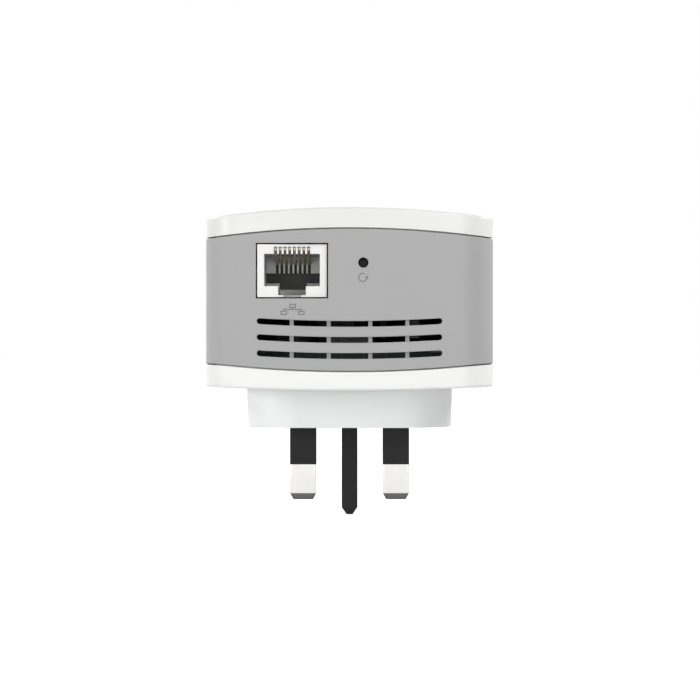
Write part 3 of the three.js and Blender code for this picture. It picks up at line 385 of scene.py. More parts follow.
def add_skin(shape, rings, wrapped=False):
    """Skins rings of equally many points; a ring of one point is a pole, and open ends are capped."""
    loops = [[shape.verts.new(point) for point in ring] for ring in rings]
    pairs = list(zip(loops, loops[1:]))
    if wrapped:
        pairs.append((loops[-1], loops[0]))
    for here, there in pairs:
        count = max(len(here), len(there))
        for i in range(count):
            j = (i + 1) % count
            corners = (here[i % len(here)], here[j % len(here)], there[j % len(there)], there[i % len(there)])
            shape.faces.new(dict.fromkeys(corners))
    for end in () if wrapped else (loops[0], loops[-1]):
        if len(end) > 1:
            shape.faces.new(end)


def skin(name, rings, wrapped=False):
    shape = bmesh.new()
    add_skin(shape, rings, wrapped)
    return piece_of(name, shape)


MITRE_LIMIT = 0.5
PRISM_AXES = {"x": (1, 2, 0), "y": (0, 2, 1), "z": (0, 1, 2)}


def prism(name, outline, axis, reach):
    """Skins an outline drawn in (y, z), (x, z) or (x, y) and carried along the axis left over."""
    first, second, third = PRISM_AXES[axis]
    rings = []
    for level in reach:
        ring = []
        for u, v in outline:
            point = Vector()
            point[first], point[second], point[third] = u, v, level
            ring.append(point)
        rings.append(ring)
    return skin(name, rings)


def rod(radius, place, sides, *reach):
    """An upright rod, between two heights."""
    return prism("rod", circle(radius, place, sides), "z", reach)


def block(name, x, y, z):
    return prism(name, [(x[0], y[0]), (x[1], y[0]), (x[1], y[1]), (x[0], y[1])], "z", z)


def around(centre, half):
    return centre - half, centre + half


def strip(path, thickness):
    """The outline of a strip of even thickness that follows a path in a plane."""
    sides = ([], [])
    for i, point in enumerate(path):
        before = path[max(i - 1, 0)]
        after = path[min(i + 1, len(path) - 1)]
        along = (Vector(after) - Vector(before)).normalized()
        step = (Vector(after) - Vector(point)) if i < len(path) - 1 else (Vector(point) - Vector(before))
        reach = thickness / 2 / max(along.dot(step.normalized()), MITRE_LIMIT)
        for side, sign in zip(sides, (-1, 1)):
            side.append((point[0] - along.y * reach * sign, point[1] + along.x * reach * sign))
    return sides[0] + sides[1][::-1]


# Modifiers, each applied at once so that a piece is left as a plain mesh
def baked(piece):
    depsgraph = bpy.context.evaluated_depsgraph_get()
    mesh = bpy.data.meshes.new_from_object(piece.evaluated_get(depsgraph), depsgraph=depsgraph)
    piece.modifiers.clear()
    old = piece.data
    piece.data = mesh
    mesh.name = piece.name
    bpy.data.meshes.remove(old)
    return piece


def combined(piece, others, operation):
    for other in others:
        modifier = piece.modifiers.new(operation, "BOOLEAN")
        modifier.operation = operation
        modifier.solver = "MANIFOLD"
        modifier.object = other
    baked(piece)
    for other in others:
        mesh = other.data
        bpy.data.objects.remove(other)
        bpy.data.meshes.remove(mesh)
    return piece


def cut(piece, *cutters):
    return combined(piece, cutters, "DIFFERENCE")


def joined(piece, *extras):
    return combined(piece, extras, "UNION")


def eased(piece, chosen=lambda point: True, width=EASED_FINE, segments=2):
    """Rounds the sharp edges whose middle is chosen, then leaves the flats flat in the shading."""
    shape = bmesh.new()
    shape.from_mesh(piece.data)
    bmesh.ops.dissolve_degenerate(shape, dist=MERGED, edges=shape.edges)
    sharp = [edge for edge in shape.edges if edge.is_manifold and edge.calc_face_angle() > EDGE_TURN
             and chosen((edge.verts[0].co + edge.verts[1].co) / 2 / MM)]
    bmesh.ops.bevel(shape, geom=sharp, offset=width * MM, segments=segments, profile=0.5,
                    affect="EDGES", miter_outer="ARC", clamp_overlap=False)
    shape.to_mesh(piece.data)
    shape.free()
    piece.data.shade_smooth()
    piece.data.set_sharp_from_angle(angle=EDGE_TURN)
    weighted = piece.modifiers.new("flat_faces", "WEIGHTED_NORMAL")
    weighted.keep_sharp = True
    return baked(piece)


# One function adds any node, for materials and for shapes alike
def node(tree, kind, inputs=None, **settings):
    """Adds a node; inputs gives a value or an output for each of its sockets by name or number."""
    made = tree.nodes.new(kind)
    for name, value in settings.items():
        setattr(made, name, value)
    for key, value in (inputs or {}).items():
        if isinstance(value, bpy.types.NodeSocket):
            tree.links.new(value, made.inputs[key])
        else:
            made.inputs[key].default_value = value
    return made


def shader(tree, kind, inputs=None, out=0, **settings):
    """Adds a node of a kind that shaders use, which other trees may share, and gives one of its outputs."""
    return node(tree, "ShaderNode" + kind, inputs, **settings).outputs[out]


def maths(tree, operation, first, second):
    return shader(tree, "Math", {0: first, 1: second}, operation=operation)


def row_tree():
    """Copies of a shape in a centred row, which drops with the square of x as a crowned face does."""
    tree = bpy.data.node_groups.new("row_of_copies", "GeometryNodeTree")
    for name, kind in (("Shape", "Geometry"), ("Count", "Int"), ("Step", "Vector"), ("Drop", "Float")):
        tree.interface.new_socket(name, in_out="INPUT", socket_type="NodeSocket" + kind)
    tree.interface.new_socket("Shape", in_out="OUTPUT", socket_type="NodeSocketGeometry")
    given = node(tree, "NodeGroupInput").outputs
    back = maths(tree, "MULTIPLY", maths(tree, "SUBTRACT", given["Count"], 1.0), -0.5)
    start = shader(tree, "VectorMath", {0: given["Step"], "Scale": back}, operation="SCALE")
    line = node(tree, "GeometryNodeMeshLine", {
        "Count": given["Count"], "Start Location": start, "Offset": given["Step"]})
    place = node(tree, "GeometryNodeInputPosition")
    across = shader(tree, "SeparateXYZ", {0: place.outputs[0]}, "X")
    fall = maths(tree, "MULTIPLY", maths(tree, "POWER", across, 2.0), given["Drop"])
    shift = shader(tree, "CombineXYZ", {"Z": maths(tree, "MULTIPLY", fall, -1.0)})
    lowered = node(tree, "GeometryNodeSetPosition", {"Geometry": line.outputs[0], "Offset": shift})
    copies = node(tree, "GeometryNodeInstanceOnPoints", {
        "Points": lowered.outputs[0], "Instance": given["Shape"]})
    real = node(tree, "GeometryNodeRealizeInstances", {0: copies.outputs[0]})
    node(tree, "NodeGroupOutput", {0: real.outputs[0]})
    return tree


row_of_copies = row_tree()


def in_row(piece, count, step, drop=0.0):
    """Repeats a piece in a row centred on it; step is in millimetres, drop in metres per square metre."""
    modifier = piece.modifiers.new("row", "NODES")
    modifier.node_group = row_of_copies
    values = {"Count": count, "Step": [size * MM for size in step], "Drop": drop}
    for item in row_of_copies.interface.items_tree:
        if item.in_out == "INPUT" and item.name in values:
            modifier[item.identifier] = values[item.name]
    return baked(piece)


# Materials: colours are sRGB hex values, and pattern sizes are in millimetres
COLOUR_A, COLOUR_B, MIXED_COLOUR = 6, 7, 2
GLOSS_SPREAD = 0.04


def linear(hex_colour):
    channels = [(hex_colour >> shift & 255) / 255 for shift in (16, 8, 0)]
    return [c / 12.92 if c <= 0.04045 else ((c + 0.055) / 1.055) ** 2.4 for c in channels] + [1]


def per(size):
    """The texture scale at which a pattern repeats about once in this many millimetres."""
    return 1 / (size * MM)


def new_finish(name):
    finish = bpy.data.materials.new(name)
    finish.use_nodes = True
    finish.node_tree.nodes.clear()
    tree = finish.node_tree
    return finish, tree, shader(tree, "TexCoord", out="Object")


def noise(tree, place, size, detail=2.0, rough=0.5):
    return shader(tree, "TexNoise", {
        "Vector": place, "Scale": per(size), "Detail": detail, "Roughness": rough}, "Fac")


def blended(tree, factor, low, high):
    return shader(tree, "Mix", {0: factor, COLOUR_A: low, COLOUR_B: high}, MIXED_COLOUR, data_type="RGBA")


def ranged(tree, value, low, high, start=0.3, end=0.7):
    return shader(tree, "MapRange", {
        "Value": value, "From Min": start, "From Max": end, "To Min": low, "To Max": high})


def relief(tree, height, depth):
    return shader(tree, "Bump", {"Height": height, "Distance": depth * MM})


def shown_with(finish, inputs):
    surface = shader(finish.node_tree, "BsdfPrincipled", inputs)
    node(finish.node_tree, "ShaderNodeOutputMaterial", {"Surface": surface})
    return finish


def moulded(name, colour, shade, roughness, grain=0.4, depth=0.003, patch=3, bend=1.5, glint=0.5):
    """A moulded surface: fine grain in its relief, slow changes of tone and gloss over its patches;
    bend is its index of refraction, and a lower glint holds back its reflections."""
    finish, tree, place = new_finish(name)
    patches = noise(tree, place, patch, detail=3.0)
    return shown_with(finish, {
        "Base Color": blended(tree, ranged(tree, patches, 0.0, 1.0), linear(shade), linear(colour)),
        "Roughness": ranged(tree, patches, roughness - GLOSS_SPREAD, roughness + GLOSS_SPREAD),
        "Normal": relief(tree, noise(tree, place, grain), depth),
        "IOR": bend,
        "Specular IOR Level": glint,
    })


def metal(name, shade, colour, gloss, depth, marks, tint=None, stretch=(1, 1, 1)):
    """Bare metal whose marks, drawn out by the stretch, change its gloss, relief and tint; the tint can
    have a pattern of its own. Either is given as a size, a detail and a roughness."""
    finish, tree, place = new_finish(name)
    along = shader(tree, "Mapping", {"Vector": place, "Scale": stretch})
    lines = noise(tree, along, *marks)
    tone = noise(tree, place, *tint) if tint else lines
    return shown_with(finish, {
        "Base Color": blended(tree, ranged(tree, tone, 0.0, 1.0), linear(shade), linear(colour)),
        "Metallic": 1.0,
        "Roughness": ranged(tree, lines, *gloss),
        "Normal": relief(tree, lines, depth),
    })


def satin_cover_abs():
    # White ABS from a finely polished mould: even satin gloss over a barely felt orange peel
    return moulded("satin_white_abs", 0xECECEA, 0xEAEAE8, 0.36, grain=0.9, depth=0.0012, patch=14, bend=1.52)


def sparked_band_abs():
    # Grey ABS from a spark-eroded mould: matt and very finely pitted, drawn coarser than its real grain
    return moulded("sparked_grey_abs", 0xABABAB, 0xA9A9A9, 0.52, grain=0.3, patch=14, bend=1.52)


def satin_rear_abs():
    # White ABS as the cover's, from a slightly duller mould, and a little lighter: painted light, for the
    # brighter light on the rear
    return moulded("painted_light_rear_abs", 0xF5F5F4, 0xF3F3F2, 0.42, grain=0.7, depth=0.0018, patch=14, bend=1.52)


def base_polycarbonate():
    # White flame-retardant polycarbonate: a little cooler than the ABS round it, with fainter reflections
    return moulded("base_white_polycarbonate", 0xF3F4F4, 0xF1F2F2, 0.38, grain=0.8, depth=0.0015, patch=14,
                   bend=1.58, glint=0.2)


def nickel_plate():
    # Bright nickel on brass: a clean mirror broken by fine lengthwise drawing lines
    return metal("nickel_plate", 0xE9E7E3, 0xEDECE9, (0.16, 0.26), 0.0006,
                 marks=(0.12, 3.0), tint=(3, 3.0), stretch=(1, 1, 0.04))


def tip_painted_shade():
    # The pressed chamfer of a pin: duller than the blade, and darker as painted shade for the dim reflection
    # that its down-facing faces catch
    return metal("nickel_tip_painted_shade", 0x5E5E5E, 0x6A6A69, (0.4, 0.52), 0.004, marks=(0.25, 4.0, 0.6))


def sleeve_nylon():
    # Dark nylon moulded over the pins: faint grain, low sheen
    return moulded("dark_sleeve_nylon", 0x262626, 0x222222, 0.5, grain=0.35, patch=5, bend=1.53, glint=0.15)


def earth_nylon():
    # Glass-filled dark nylon of the earth pin: a touch rougher, with a fine fibre mottle
    return moulded("dark_earth_nylon", 0x2A2A2A, 0x252525, 0.52, grain=0.28, depth=0.004, patch=2.5,
                   bend=1.54, glint=0.15)


def port_polyester():
    # White glass-filled polyester of the port's face: crisp, chalky and slightly matt
    return moulded("white_port_polyester", 0xF5F4F3, 0xF1F0EF, 0.45, depth=0.0025, patch=4, bend=1.55)


def port_wall_shade():
    # Grey polyester on the port's inner walls behind its white face: painted shade, standing in for the shade
    # inside the port
    return moulded("grey_port_wall_shade", 0xB4B4B2, 0xAEAEAC, 0.5, bend=1.55)


def back_wall_shade():
    # Near black on the wall at the very back of the port and on the outer sides of its body: painted shade,
    # for the deep shade there and in the gap round the port's face
    return moulded("dark_back_wall_shade", 0x333333, 0x2E2E2E, 0.6, bend=1.55)


def comb_polyester():
    # Pale grey comb that spaces the contacts' ends
    return moulded("grey_comb_polyester", 0xD8D8D5, 0xD1D1CE, 0.5, bend=1.55)


def gold_flash():
    # Thin gold flashed over nickel on bronze wire: pale ivory yellow, with drawing lines along the wire
    return metal("gold_flash", 0xE4DCBE, 0xEFE9D2, (0.42, 0.54), 0.0008,
                 marks=(0.06,), tint=(1.2,), stretch=(1, 0.06, 0.06))


def switch_nylon():
    # Black heat-proof nylon of switches and chip bodies
    return moulded("black_switch_nylon", 0x202020, 0x1B1B1B, 0.5, grain=0.3, depth=0.004, bend=1.53)


def solder_mask():
    # Green solder mask over copper, darkened as painted shade for the dim inside seen through the vents: the
    # tracks show as lighter, slightly raised lanes
    finish, tree, place = new_finish("green_solder_mask")
    lanes = shader(tree, "TexBrick", {
        "Vector": place, "Scale": per(10), "Mortar Size": 0.03, "Color1": (0, 0, 0, 1),
        "Color2": (0.25, 0.25, 0.25, 1), "Mortar": (1, 1, 1, 1)}, "Color", offset=0.35)
    stain = noise(tree, place, 6, detail=3.0)
    mask = blended(tree, stain, linear(0x0C2417), linear(0x102E1D))
    return shown_with(finish, {
        "Base Color": blended(tree, lanes, mask, linear(0x1B4A2E)),
        "Roughness": ranged(tree, stain, 0.3, 0.42),
        "Normal": relief(tree, lanes, 0.03),
        "IOR": 1.53,
    })


def zinc_steel():
    # Bright zinc on steel screws: cool grey with a light bluish bloom
    return metal("zinc_plated_steel", 0xA9ADB0, 0xC6C8C6, (0.28, 0.4), 0.003, marks=(0.8, 4.0, 0.6))


def tinned_steel():
    # Tin-plated sheet of the shield cans: soft grey sheen with long rolling lines
    return metal("tin_plated_sheet", 0xB4B5B3, 0xC9CAC8, (0.3, 0.42), 0.002,
                 marks=(0.25, 3.0), stretch=(1, 0.05, 1))


def silicone_pad():
    # Blue-grey filled silicone: dead matt and softly pimpled
    return moulded("blue_silicone_pad", 0x8FA3B5, 0x8397AA, 0.82, grain=0.6, depth=0.03, patch=4, bend=1.43)


def rolled_aluminium():
    # Rolled aluminium sheet: pale metal with close lines along the roll
    return metal("rolled_aluminium", 0xC2C4C6, 0xD4D6D8, (0.34, 0.48), 0.003,
                 marks=(0.2, 4.0), stretch=(1, 0.03, 1))


def light_epoxy():
    # Milky yellow epoxy over the status lights
    return moulded("milky_light_epoxy", 0xF2EFD8, 0xE9E4C4, 0.25, grain=0.5, depth=0.002, patch=1.5,
                   bend=1.54)


def clear_acrylic():
    # Clear acrylic light guide: glossy, with a trace of moulding flow lines
    finish, tree, place = new_finish("clear_acrylic")
    flow = noise(tree, place, 2.5, detail=2.0)
    return shown_with(finish, {
        "Base Color": blended(tree, flow, linear(0xE6EEF1), linear(0xF2F6F7)),
        "Roughness": ranged(tree, flow, 0.06, 0.12),
        "Normal": relief(tree, flow, 0.004),
        "IOR": 1.49,
        "Transmission Weight": 0.6,
    })


def lead_jacket():
    # Black fluoropolymer jacket of the antenna leads: smooth and waxy
    return moulded("black_lead_jacket", 0x242424, 0x1E1E1E, 0.38, depth=0.002, patch=5, bend=1.38)


def sintered_ferrite():
    # Sintered ferrite: charcoal grey, gritty, with ground faces; darker than its own grey as painted shade
    # for the dim inside seen through the vents
    return moulded("sintered_ferrite", 0x2D2D2F, 0x252527, 0.62, grain=0.25, depth=0.01, bend=2.0)


def polyester_tape():
    # Brown polyester tape wound on the transformer: glossy, with the edge of each turn showing
    finish, tree, place = new_finish("brown_polyester_tape")
    turns = shader(tree, "TexWave", {
        "Vector": place, "Scale": per(12), "Distortion": 1.2, "Detail": 2.0}, "Fac", bands_direction="Z")
    return shown_with(finish, {
        "Base Color": blended(tree, turns, linear(0x4A3D1E), linear(0x5C4C26)),
        "Roughness": ranged(tree, turns, 0.22, 0.36, 0.0, 1.0),
        "Normal": relief(tree, turns, 0.02),
        "IOR": 1.6,
    })


def capacitor_sleeve():
    # Shrunk plastic sleeve of a capacitor: dark, glossy and slightly rippled
    return moulded("dark_shrink_sleeve", 0x1C1E23, 0x17191E, 0.34, grain=1.5, depth=0.01, patch=4)


def fuse_ceramic():
    # Glazed ceramic of the fuse: stone grey with a slow ripple in the glaze
    return moulded("glazed_fuse_ceramic", 0x9C9E9C, 0x929492, 0.25, grain=2, depth=0.006, bend=1.55)


def mark_ink():
    # Grey pad-printing ink: matt and faintly uneven along its strokes
    return moulded("grey_mark_ink", 0x7E7E7E, 0x787878, 0.6, grain=0.15, depth=0.001, patch=0.8)


finishes = {
    "cover_plastic": satin_cover_abs(),
    "band_plastic": sparked_band_abs(),
    "rear_plastic": satin_rear_abs(),
    "base_plastic": base_polycarbonate(),
    "pin_metal": nickel_plate(),
    "sleeve_plastic": sleeve_nylon(),
    "earth_plastic": earth_nylon(),
    "port_plastic": port_polyester(),
    "insert_plastic": comb_polyester(),
    "contact_gold": gold_flash(),
    "switch_plastic": switch_nylon(),
    "board_laminate": solder_mask(),
    "screw_steel": zinc_steel(),
    "can_steel": tinned_steel(),
    "pad_rubber": silicone_pad(),
    "spreader_aluminium": rolled_aluminium(),
    "led_lens": light_epoxy(),
    "guide_clear": clear_acrylic(),
    "lead_jacket": lead_jacket(),
    "ferrite": sintered_ferrite(),
    "winding_tape": polyester_tape(),
    "capacitor_sleeve": capacitor_sleeve(),
    "fuse_glass": fuse_ceramic(),
}
tip_painted_shade_finish = tip_painted_shade()
port_wall_shade_finish = port_wall_shade()
back_wall_shade_finish = back_wall_shade()
ink_finish = mark_ink()


def finish_nodes():
    """Gives each CAD node the finish of its slot."""
    for name, slot in slot_of.items():
        slots = nodes[name].data.materials
        slots.clear()
        slots.append(finishes[slot])


def stand_for(piece, *replaced, extra_finishes=()):
    """Puts a modelled piece in the place of CAD nodes: it takes their body, slot and finish."""
    slot = slot_of[replaced[0]]
    piece.data.materials.clear()
    for finish in (finishes[slot], *extra_finishes):
        piece.data.materials.append(finish)
    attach(piece, body_of[replaced[0]])
    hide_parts(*replaced)


def refinish(piece, index, chosen):
    """Gives the faces whose middle is chosen the piece's finish of that number."""
    for face in piece.data.polygons:
        if chosen(face.center / MM, face.normal):
            face.material_index = index


# Casing
def on_outer_wall(point):
    return wall_depth(point.x, point.y) < ON_WALL


def post_places():
    """The board screws' places, which the posts of the front cover share."""
    middles = [sum(box_mm(f"board_screw_{i + 1}"), Vector()) / 2 for i in range(4)]
    return [(middle.x, middle.y) for middle in middles]


def window_outline(gap=0):
    half_width = WINDOW_HALF_WIDTH - gap
    return rounded_rectangle(half_width, WINDOW_HALF_LENGTH - gap, WINDOW_CORNER_SHARE * half_width,
                             centre=(0, LIGHT_Y))


def front_cover():
    cover = skin("front_cover_shell", [
        *face_rings(EDGE_RADIUS, front_face), *rounded_edge(front_face, -1), *lip_rings(front_parting, 1),
        *face_rings(ROOM_INSET, front_face, -FRONT_WALL)[::-1]])
    joined(cover, *[rod(POST_RADIUS, place, 40, board_high.z, front_face(*place) - FRONT_WALL / 2)
                    for place in post_places()])
    pilots = [rod(POST_PILOT_RADIUS, place, 20, board_high.z - OVERRUN, board_high.z + POST_GRIP)
              for place in post_places()]
    window = prism("window", window_outline(), "z",
                   (guide_high.z - FRONT_WALL - OVERRUN, FRONT_APEX + OVERRUN))
    cut(cover, in_row(window, LIGHTS, (LIGHT_PITCH, 0, 0)), *pilots)
    eased(cover, lambda point: (
        on_outer_wall(point) or point.z > front_face(point.x, point.y) - EASED_FINE))
    stand_for(cover, "front_cover")


def vent_stops():
    stops = [-VENT_HALF_LENGTH]
    for share in VENT_RIB_SHARES:
        stops += around(share * VENT_HALF_LENGTH, VENT_RIB_HALF_WIDTH)
    return stops + [VENT_HALF_LENGTH]


def vent_stations(start, end):
    """Places along a slot, closer together where its ends are round."""
    inner_start = start + VENT_HALF_HEIGHT if start == -VENT_HALF_LENGTH else start
    inner_end = end - VENT_HALF_HEIGHT if end == VENT_HALF_LENGTH else end
    steps = math.ceil((inner_end - inner_start) / VENT_STATION)
    stations = [inner_start + (inner_end - inner_start) * i / steps for i in range(steps + 1)]
    if start < inner_start:
        stations = [inner_start - VENT_HALF_HEIGHT * math.sin(a) for a in VENT_END_TURNS[::-1]] + stations
    if end > inner_end:
        stations += [inner_end + VENT_HALF_HEIGHT * math.sin(a) for a in VENT_END_TURNS]
    return stations


def vent_rings(start, end, outer, inner):
    """Sections of a slot that bows upwards at its ends; outer and inner give y for an x."""
    middle_z = STAND_OFF + REAR_RIM + VENT_FIRST_RISE + VENT_PITCH * (VENT_ROWS - 1) / 2
    rings = []
    for x in vent_stations(start, end):
        past = max(abs(x) - (VENT_HALF_LENGTH - VENT_HALF_HEIGHT), 0)
        half = math.sqrt(max(VENT_HALF_HEIGHT ** 2 - past ** 2, 0))
        z = middle_z + VENT_BOW - math.sqrt(VENT_BOW ** 2 - x * x)
        rings.append([Vector((x, face(x), z + rise)) for face, rise in (
            (outer, -half), (outer, half), (inner, half), (inner, -half))])
    return rings


def vent_cutters():
    """Slots through both end walls, and shallow slots over their full length that set the ribs back."""
    outside = HALF_HEIGHT + OVERRUN
    stops = vent_stops()
    through = bmesh.new()
    for start, end in zip(stops[::2], stops[1::2]):
        add_skin(through, vent_rings(start, end, lambda x: -outside, lambda x: outside))
    cutters = [piece_of("vent_slots", through)]
    for side in (-1, 1):
        cutters.append(skin("vent_recess", vent_rings(
            -VENT_HALF_LENGTH, VENT_HALF_LENGTH,
            lambda x: side * outside,
            lambda x: side * (end_wall(x) - VENT_RIB_RECESS))))
    return [in_row(cutter, VENT_ROWS, (0, 0, VENT_PITCH)) for cutter in cutters]


def button_outline(margin):
    return rounded_rectangle(
        BUTTON_HALF_LENGTH + margin, BUTTON_HALF_HEIGHT + margin,
        BUTTON_CORNER_SHARE * BUTTON_HALF_HEIGHT + margin, centre=(BUTTON_Y, BUTTON_Z))


def by_port(point):
    """Whether a point lies on the rim of the port's hole."""
    reach = PORT_HOLE_GAP + ON_RIM
    return (point.y < 0 and on_outer_wall(point) and abs(point.x - PORT_X) < PORT_HALF_WIDTH + reach
            and port_low.z - reach < point.z < port_high.z + reach)


def side_band():
    gap = PARTING_GAP / 2
    upper, lower = casing_ring(0, front_parting, -gap), casing_ring(0, rear_parting, gap)
    rings = [[top.lerp(bottom, i / BAND_LEVELS) for top, bottom in zip(upper, lower)]
             for i in range(BAND_LEVELS + 1)]
    rings += [casing_ring(SIDE_WALL, rear_parting, gap), casing_ring(SIDE_WALL, front_parting, -gap)]
    band = skin("side_band_ring", rings, wrapped=True)
    port_end = (-HALF_HEIGHT - OVERRUN, PORT_FACE + SIDE_WALL + OVERRUN)
    port_hole = block("port_hole", around(PORT_X, PORT_HALF_WIDTH + PORT_HOLE_GAP), port_end,
                      (port_low.z - PORT_HOLE_GAP, port_high.z + PORT_HOLE_GAP))
    pinhole = prism("pinhole", circle(RESET_HOLE_RADIUS, (RESET_X, RESET_Z), 48), "y", port_end)
    button_hole = prism("button_hole", button_outline(BUTTON_HOLE_GAP), "x", (
        HALF_WIDTH - SIDE_WALL - OVERRUN, HALF_WIDTH + OVERRUN))
    cut(band, port_hole, pinhole, button_hole, *vent_cutters())
    eased(band, by_port, EASED_SHARP)
    eased(band, lambda point: on_outer_wall(point) and not by_port(point), EASED)
    stand_for(band, "side_band")


def base_outline(margin):
    return rounded_rectangle(
        BASE_HALF_WIDTH + margin, BASE_HALF_HEIGHT + margin, BASE_CORNER + margin, 18)


def rear_housing():
    outside = face_rings(EDGE_RADIUS, rear_face) + rounded_edge(rear_face, 1) + lip_rings(rear_parting, -1)
    housing = skin("rear_housing_shell", face_rings(ROOM_INSET, rear_face, REAR_WALL) + outside[::-1])
    stake_x, stake_y = power_high.x - STAKE_INSET, power_high.y - STAKE_INSET
    head = power_high.z + STAKE_HEAD_HEIGHT
    stakes = []
    for x, y in ((-stake_x, -stake_y), (stake_x, -stake_y), (-stake_x, stake_y), (stake_x, stake_y)):
        foot = rear_face(x, y) + REAR_WALL / 2
        stakes += [rod(STAKE_BOSS_RADIUS, (x, y), 28, foot, power_low.z),
                   rod(STAKE_RADIUS, (x, y), 20, foot, head - STAKE_TOP_DROP),
                   rod(STAKE_HEAD_RADIUS, (x, y), 24, power_high.z, head)]
    seat = prism("base_seat", base_outline(FLANGE_REACH), "z", (FLANGE_SEAT - REAR_WALL / 2, FLANGE_SEAT))
    joined(housing, seat)
    cut(housing, prism("base_opening", base_outline(FIT_GAP), "z", (0, FLANGE_SEAT + OVERRUN)))
    joined(housing, *stakes)
    eased(housing, lambda point: (
        on_outer_wall(point) or point.z < rear_face(point.x, point.y) + EASED_FINE))
    stand_for(housing, "rear_housing")


# Plug
def pin_hole(x, y, size):
    half_width, half_thickness = (side / 2 + PIN_HOLE_GAP for side in size)
    return block("pin_hole", around(x, half_width), around(y, half_thickness),
                 (-OVERRUN, BASE_FACE_WALL + OVERRUN))


def plug_base():
    turns = [i / EDGE_STEPS * math.pi / 2 for i in range(EDGE_STEPS + 1)]
    face_edge = [flat_ring(base_outline(-BASE_DRAFT - BASE_EDGE * (1 - math.cos(a))),
                           BASE_EDGE * (1 - math.sin(a))) for a in turns]
    cup = skin("plug_base_cup", [
        [Vector((0, 0, BASE_FACE_WALL))],
        flat_ring(base_outline(-BASE_WALL), BASE_FACE_WALL),
        flat_ring(base_outline(-BASE_WALL), FLANGE_TOP),
        flat_ring(base_outline(FLANGE_REACH), FLANGE_TOP),
        flat_ring(base_outline(FLANGE_REACH), FLANGE_SEAT),
        flat_ring(base_outline(0), FLANGE_SEAT),
        *face_edge,
        [Vector((0, 0, 0))],
    ])
    joined(cup, *[rod(BASE_BOSS_RADIUS, place, 28, BASE_FACE_WALL / 2, SHOULDER_TOP)
                  for place in BASE_BOSSES])
    holes = [pin_hole(LINE_X, BLADE_Y, BLADE), pin_hole(-LINE_X, BLADE_Y, BLADE), pin_hole(0, EARTH_Y, EARTH)]
    holes += [rod(BASE_PILOT_RADIUS, place, 20, BASE_PILOT_FOOT, SHOULDER_TOP + OVERRUN)
              for place in BASE_BOSSES]
    cut(cup, *holes)
    eased(cup, lambda point: point.z < EASED_FINE)
    stand_for(cup, "plug_base")


def narrowed(size, inset):
    return size[0] - 2 * inset, size[1] - 2 * inset


def pin_skin(name, centre, rows, wrapped=False):
    """Skins rounded sections of a pin, each row a width and thickness and the height that they lie at."""
    return skin(name, [flat_ring(rounded_rectangle(
        width / 2, thickness / 2, PIN_CORNER, 5, centre), z) for (width, thickness), z in rows], wrapped)


def metal_pin(name, x):
    """A blade below the sleeve, a waist inside it, a shoulder that the retainer clamps and a tail."""
    tail = (TAIL_WIDTH, TAIL_THICKNESS)
    shoulder = narrowed(BLADE, -SHOULDER_REACH)
    waist = narrowed(BLADE, SLEEVE_WALL + SEAT_GAP)
    tip = narrowed(BLADE, BLADE_TIP_INSET)
    tip_top = line_low.z + BLADE_TIP_HEIGHT
    pin = pin_skin(name + "_blade", (x, BLADE_Y), (
        (tail, line_high.z), (tail, SHOULDER_TOP), (shoulder, SHOULDER_TOP), (shoulder, BASE_FACE_WALL),
        (waist, BASE_FACE_WALL), (waist, SLEEVE_END), (BLADE, SLEEVE_END), (BLADE, tip_top),
        (tip, line_low.z)))
    eased(pin, lambda point: point.z < SLEEVE_END + EASED_FINE)
    stand_for(pin, name, extra_finishes=(tip_painted_shade_finish,))
    # The tip's down-facing faces take the darker tip finish: painted shade
    refinish(pin, 1, lambda middle, normal: middle.z < tip_top and normal.z < TIP_LEAN)


def pin_sleeve(name, x):
    bore = narrowed(BLADE, SLEEVE_WALL)
    sleeve = pin_skin(name + "_tube", (x, BLADE_Y), (
        (BLADE, BASE_FACE_WALL), (BLADE, SLEEVE_END), (bore, SLEEVE_END), (bore, BASE_FACE_WALL)),
        wrapped=True)
    eased(sleeve, lambda point: point.z < SLEEVE_END + EASED_FINE)
    stand_for(sleeve, name)


def earth_pin():
    tail = (TAIL_WIDTH, narrowed(EARTH, SHOULDER_REACH)[1])
    shoulder = narrowed(EARTH, -SHOULDER_REACH)
    pin = pin_skin("earth_pin_moulding", (0, EARTH_Y), (
        (tail, earth_high.z), (tail, SHOULDER_TOP), (shoulder, SHOULDER_TOP), (shoulder, BASE_FACE_WALL),
        (EARTH, BASE_FACE_WALL), (EARTH, earth_low.z + EARTH_TIP_HEIGHT),
        (narrowed(EARTH, EARTH_TIP_INSET), earth_low.z)))
    eased(pin, lambda point: point.z < 0)
    stand_for(pin, "earth_pin")


# Network port
def comb_slots(name, y, z):
    """A row of slots, one for each contact."""
    slot = block(name, around(PORT_X, CONTACT_SLOT_HALF_WIDTH), y, z)
    return in_row(slot, CONTACTS, (CONTACT_PITCH, 0, 0))


def inside_mouth(point):
    """Whether a point lies within the port's walls rather than on their outside."""
    return (abs(point.x - PORT_X) < PORT_HALF_WIDTH - IN_MOUTH
            and port_low.z + IN_MOUTH < point.z < PORT_ROOF - IN_MOUTH)


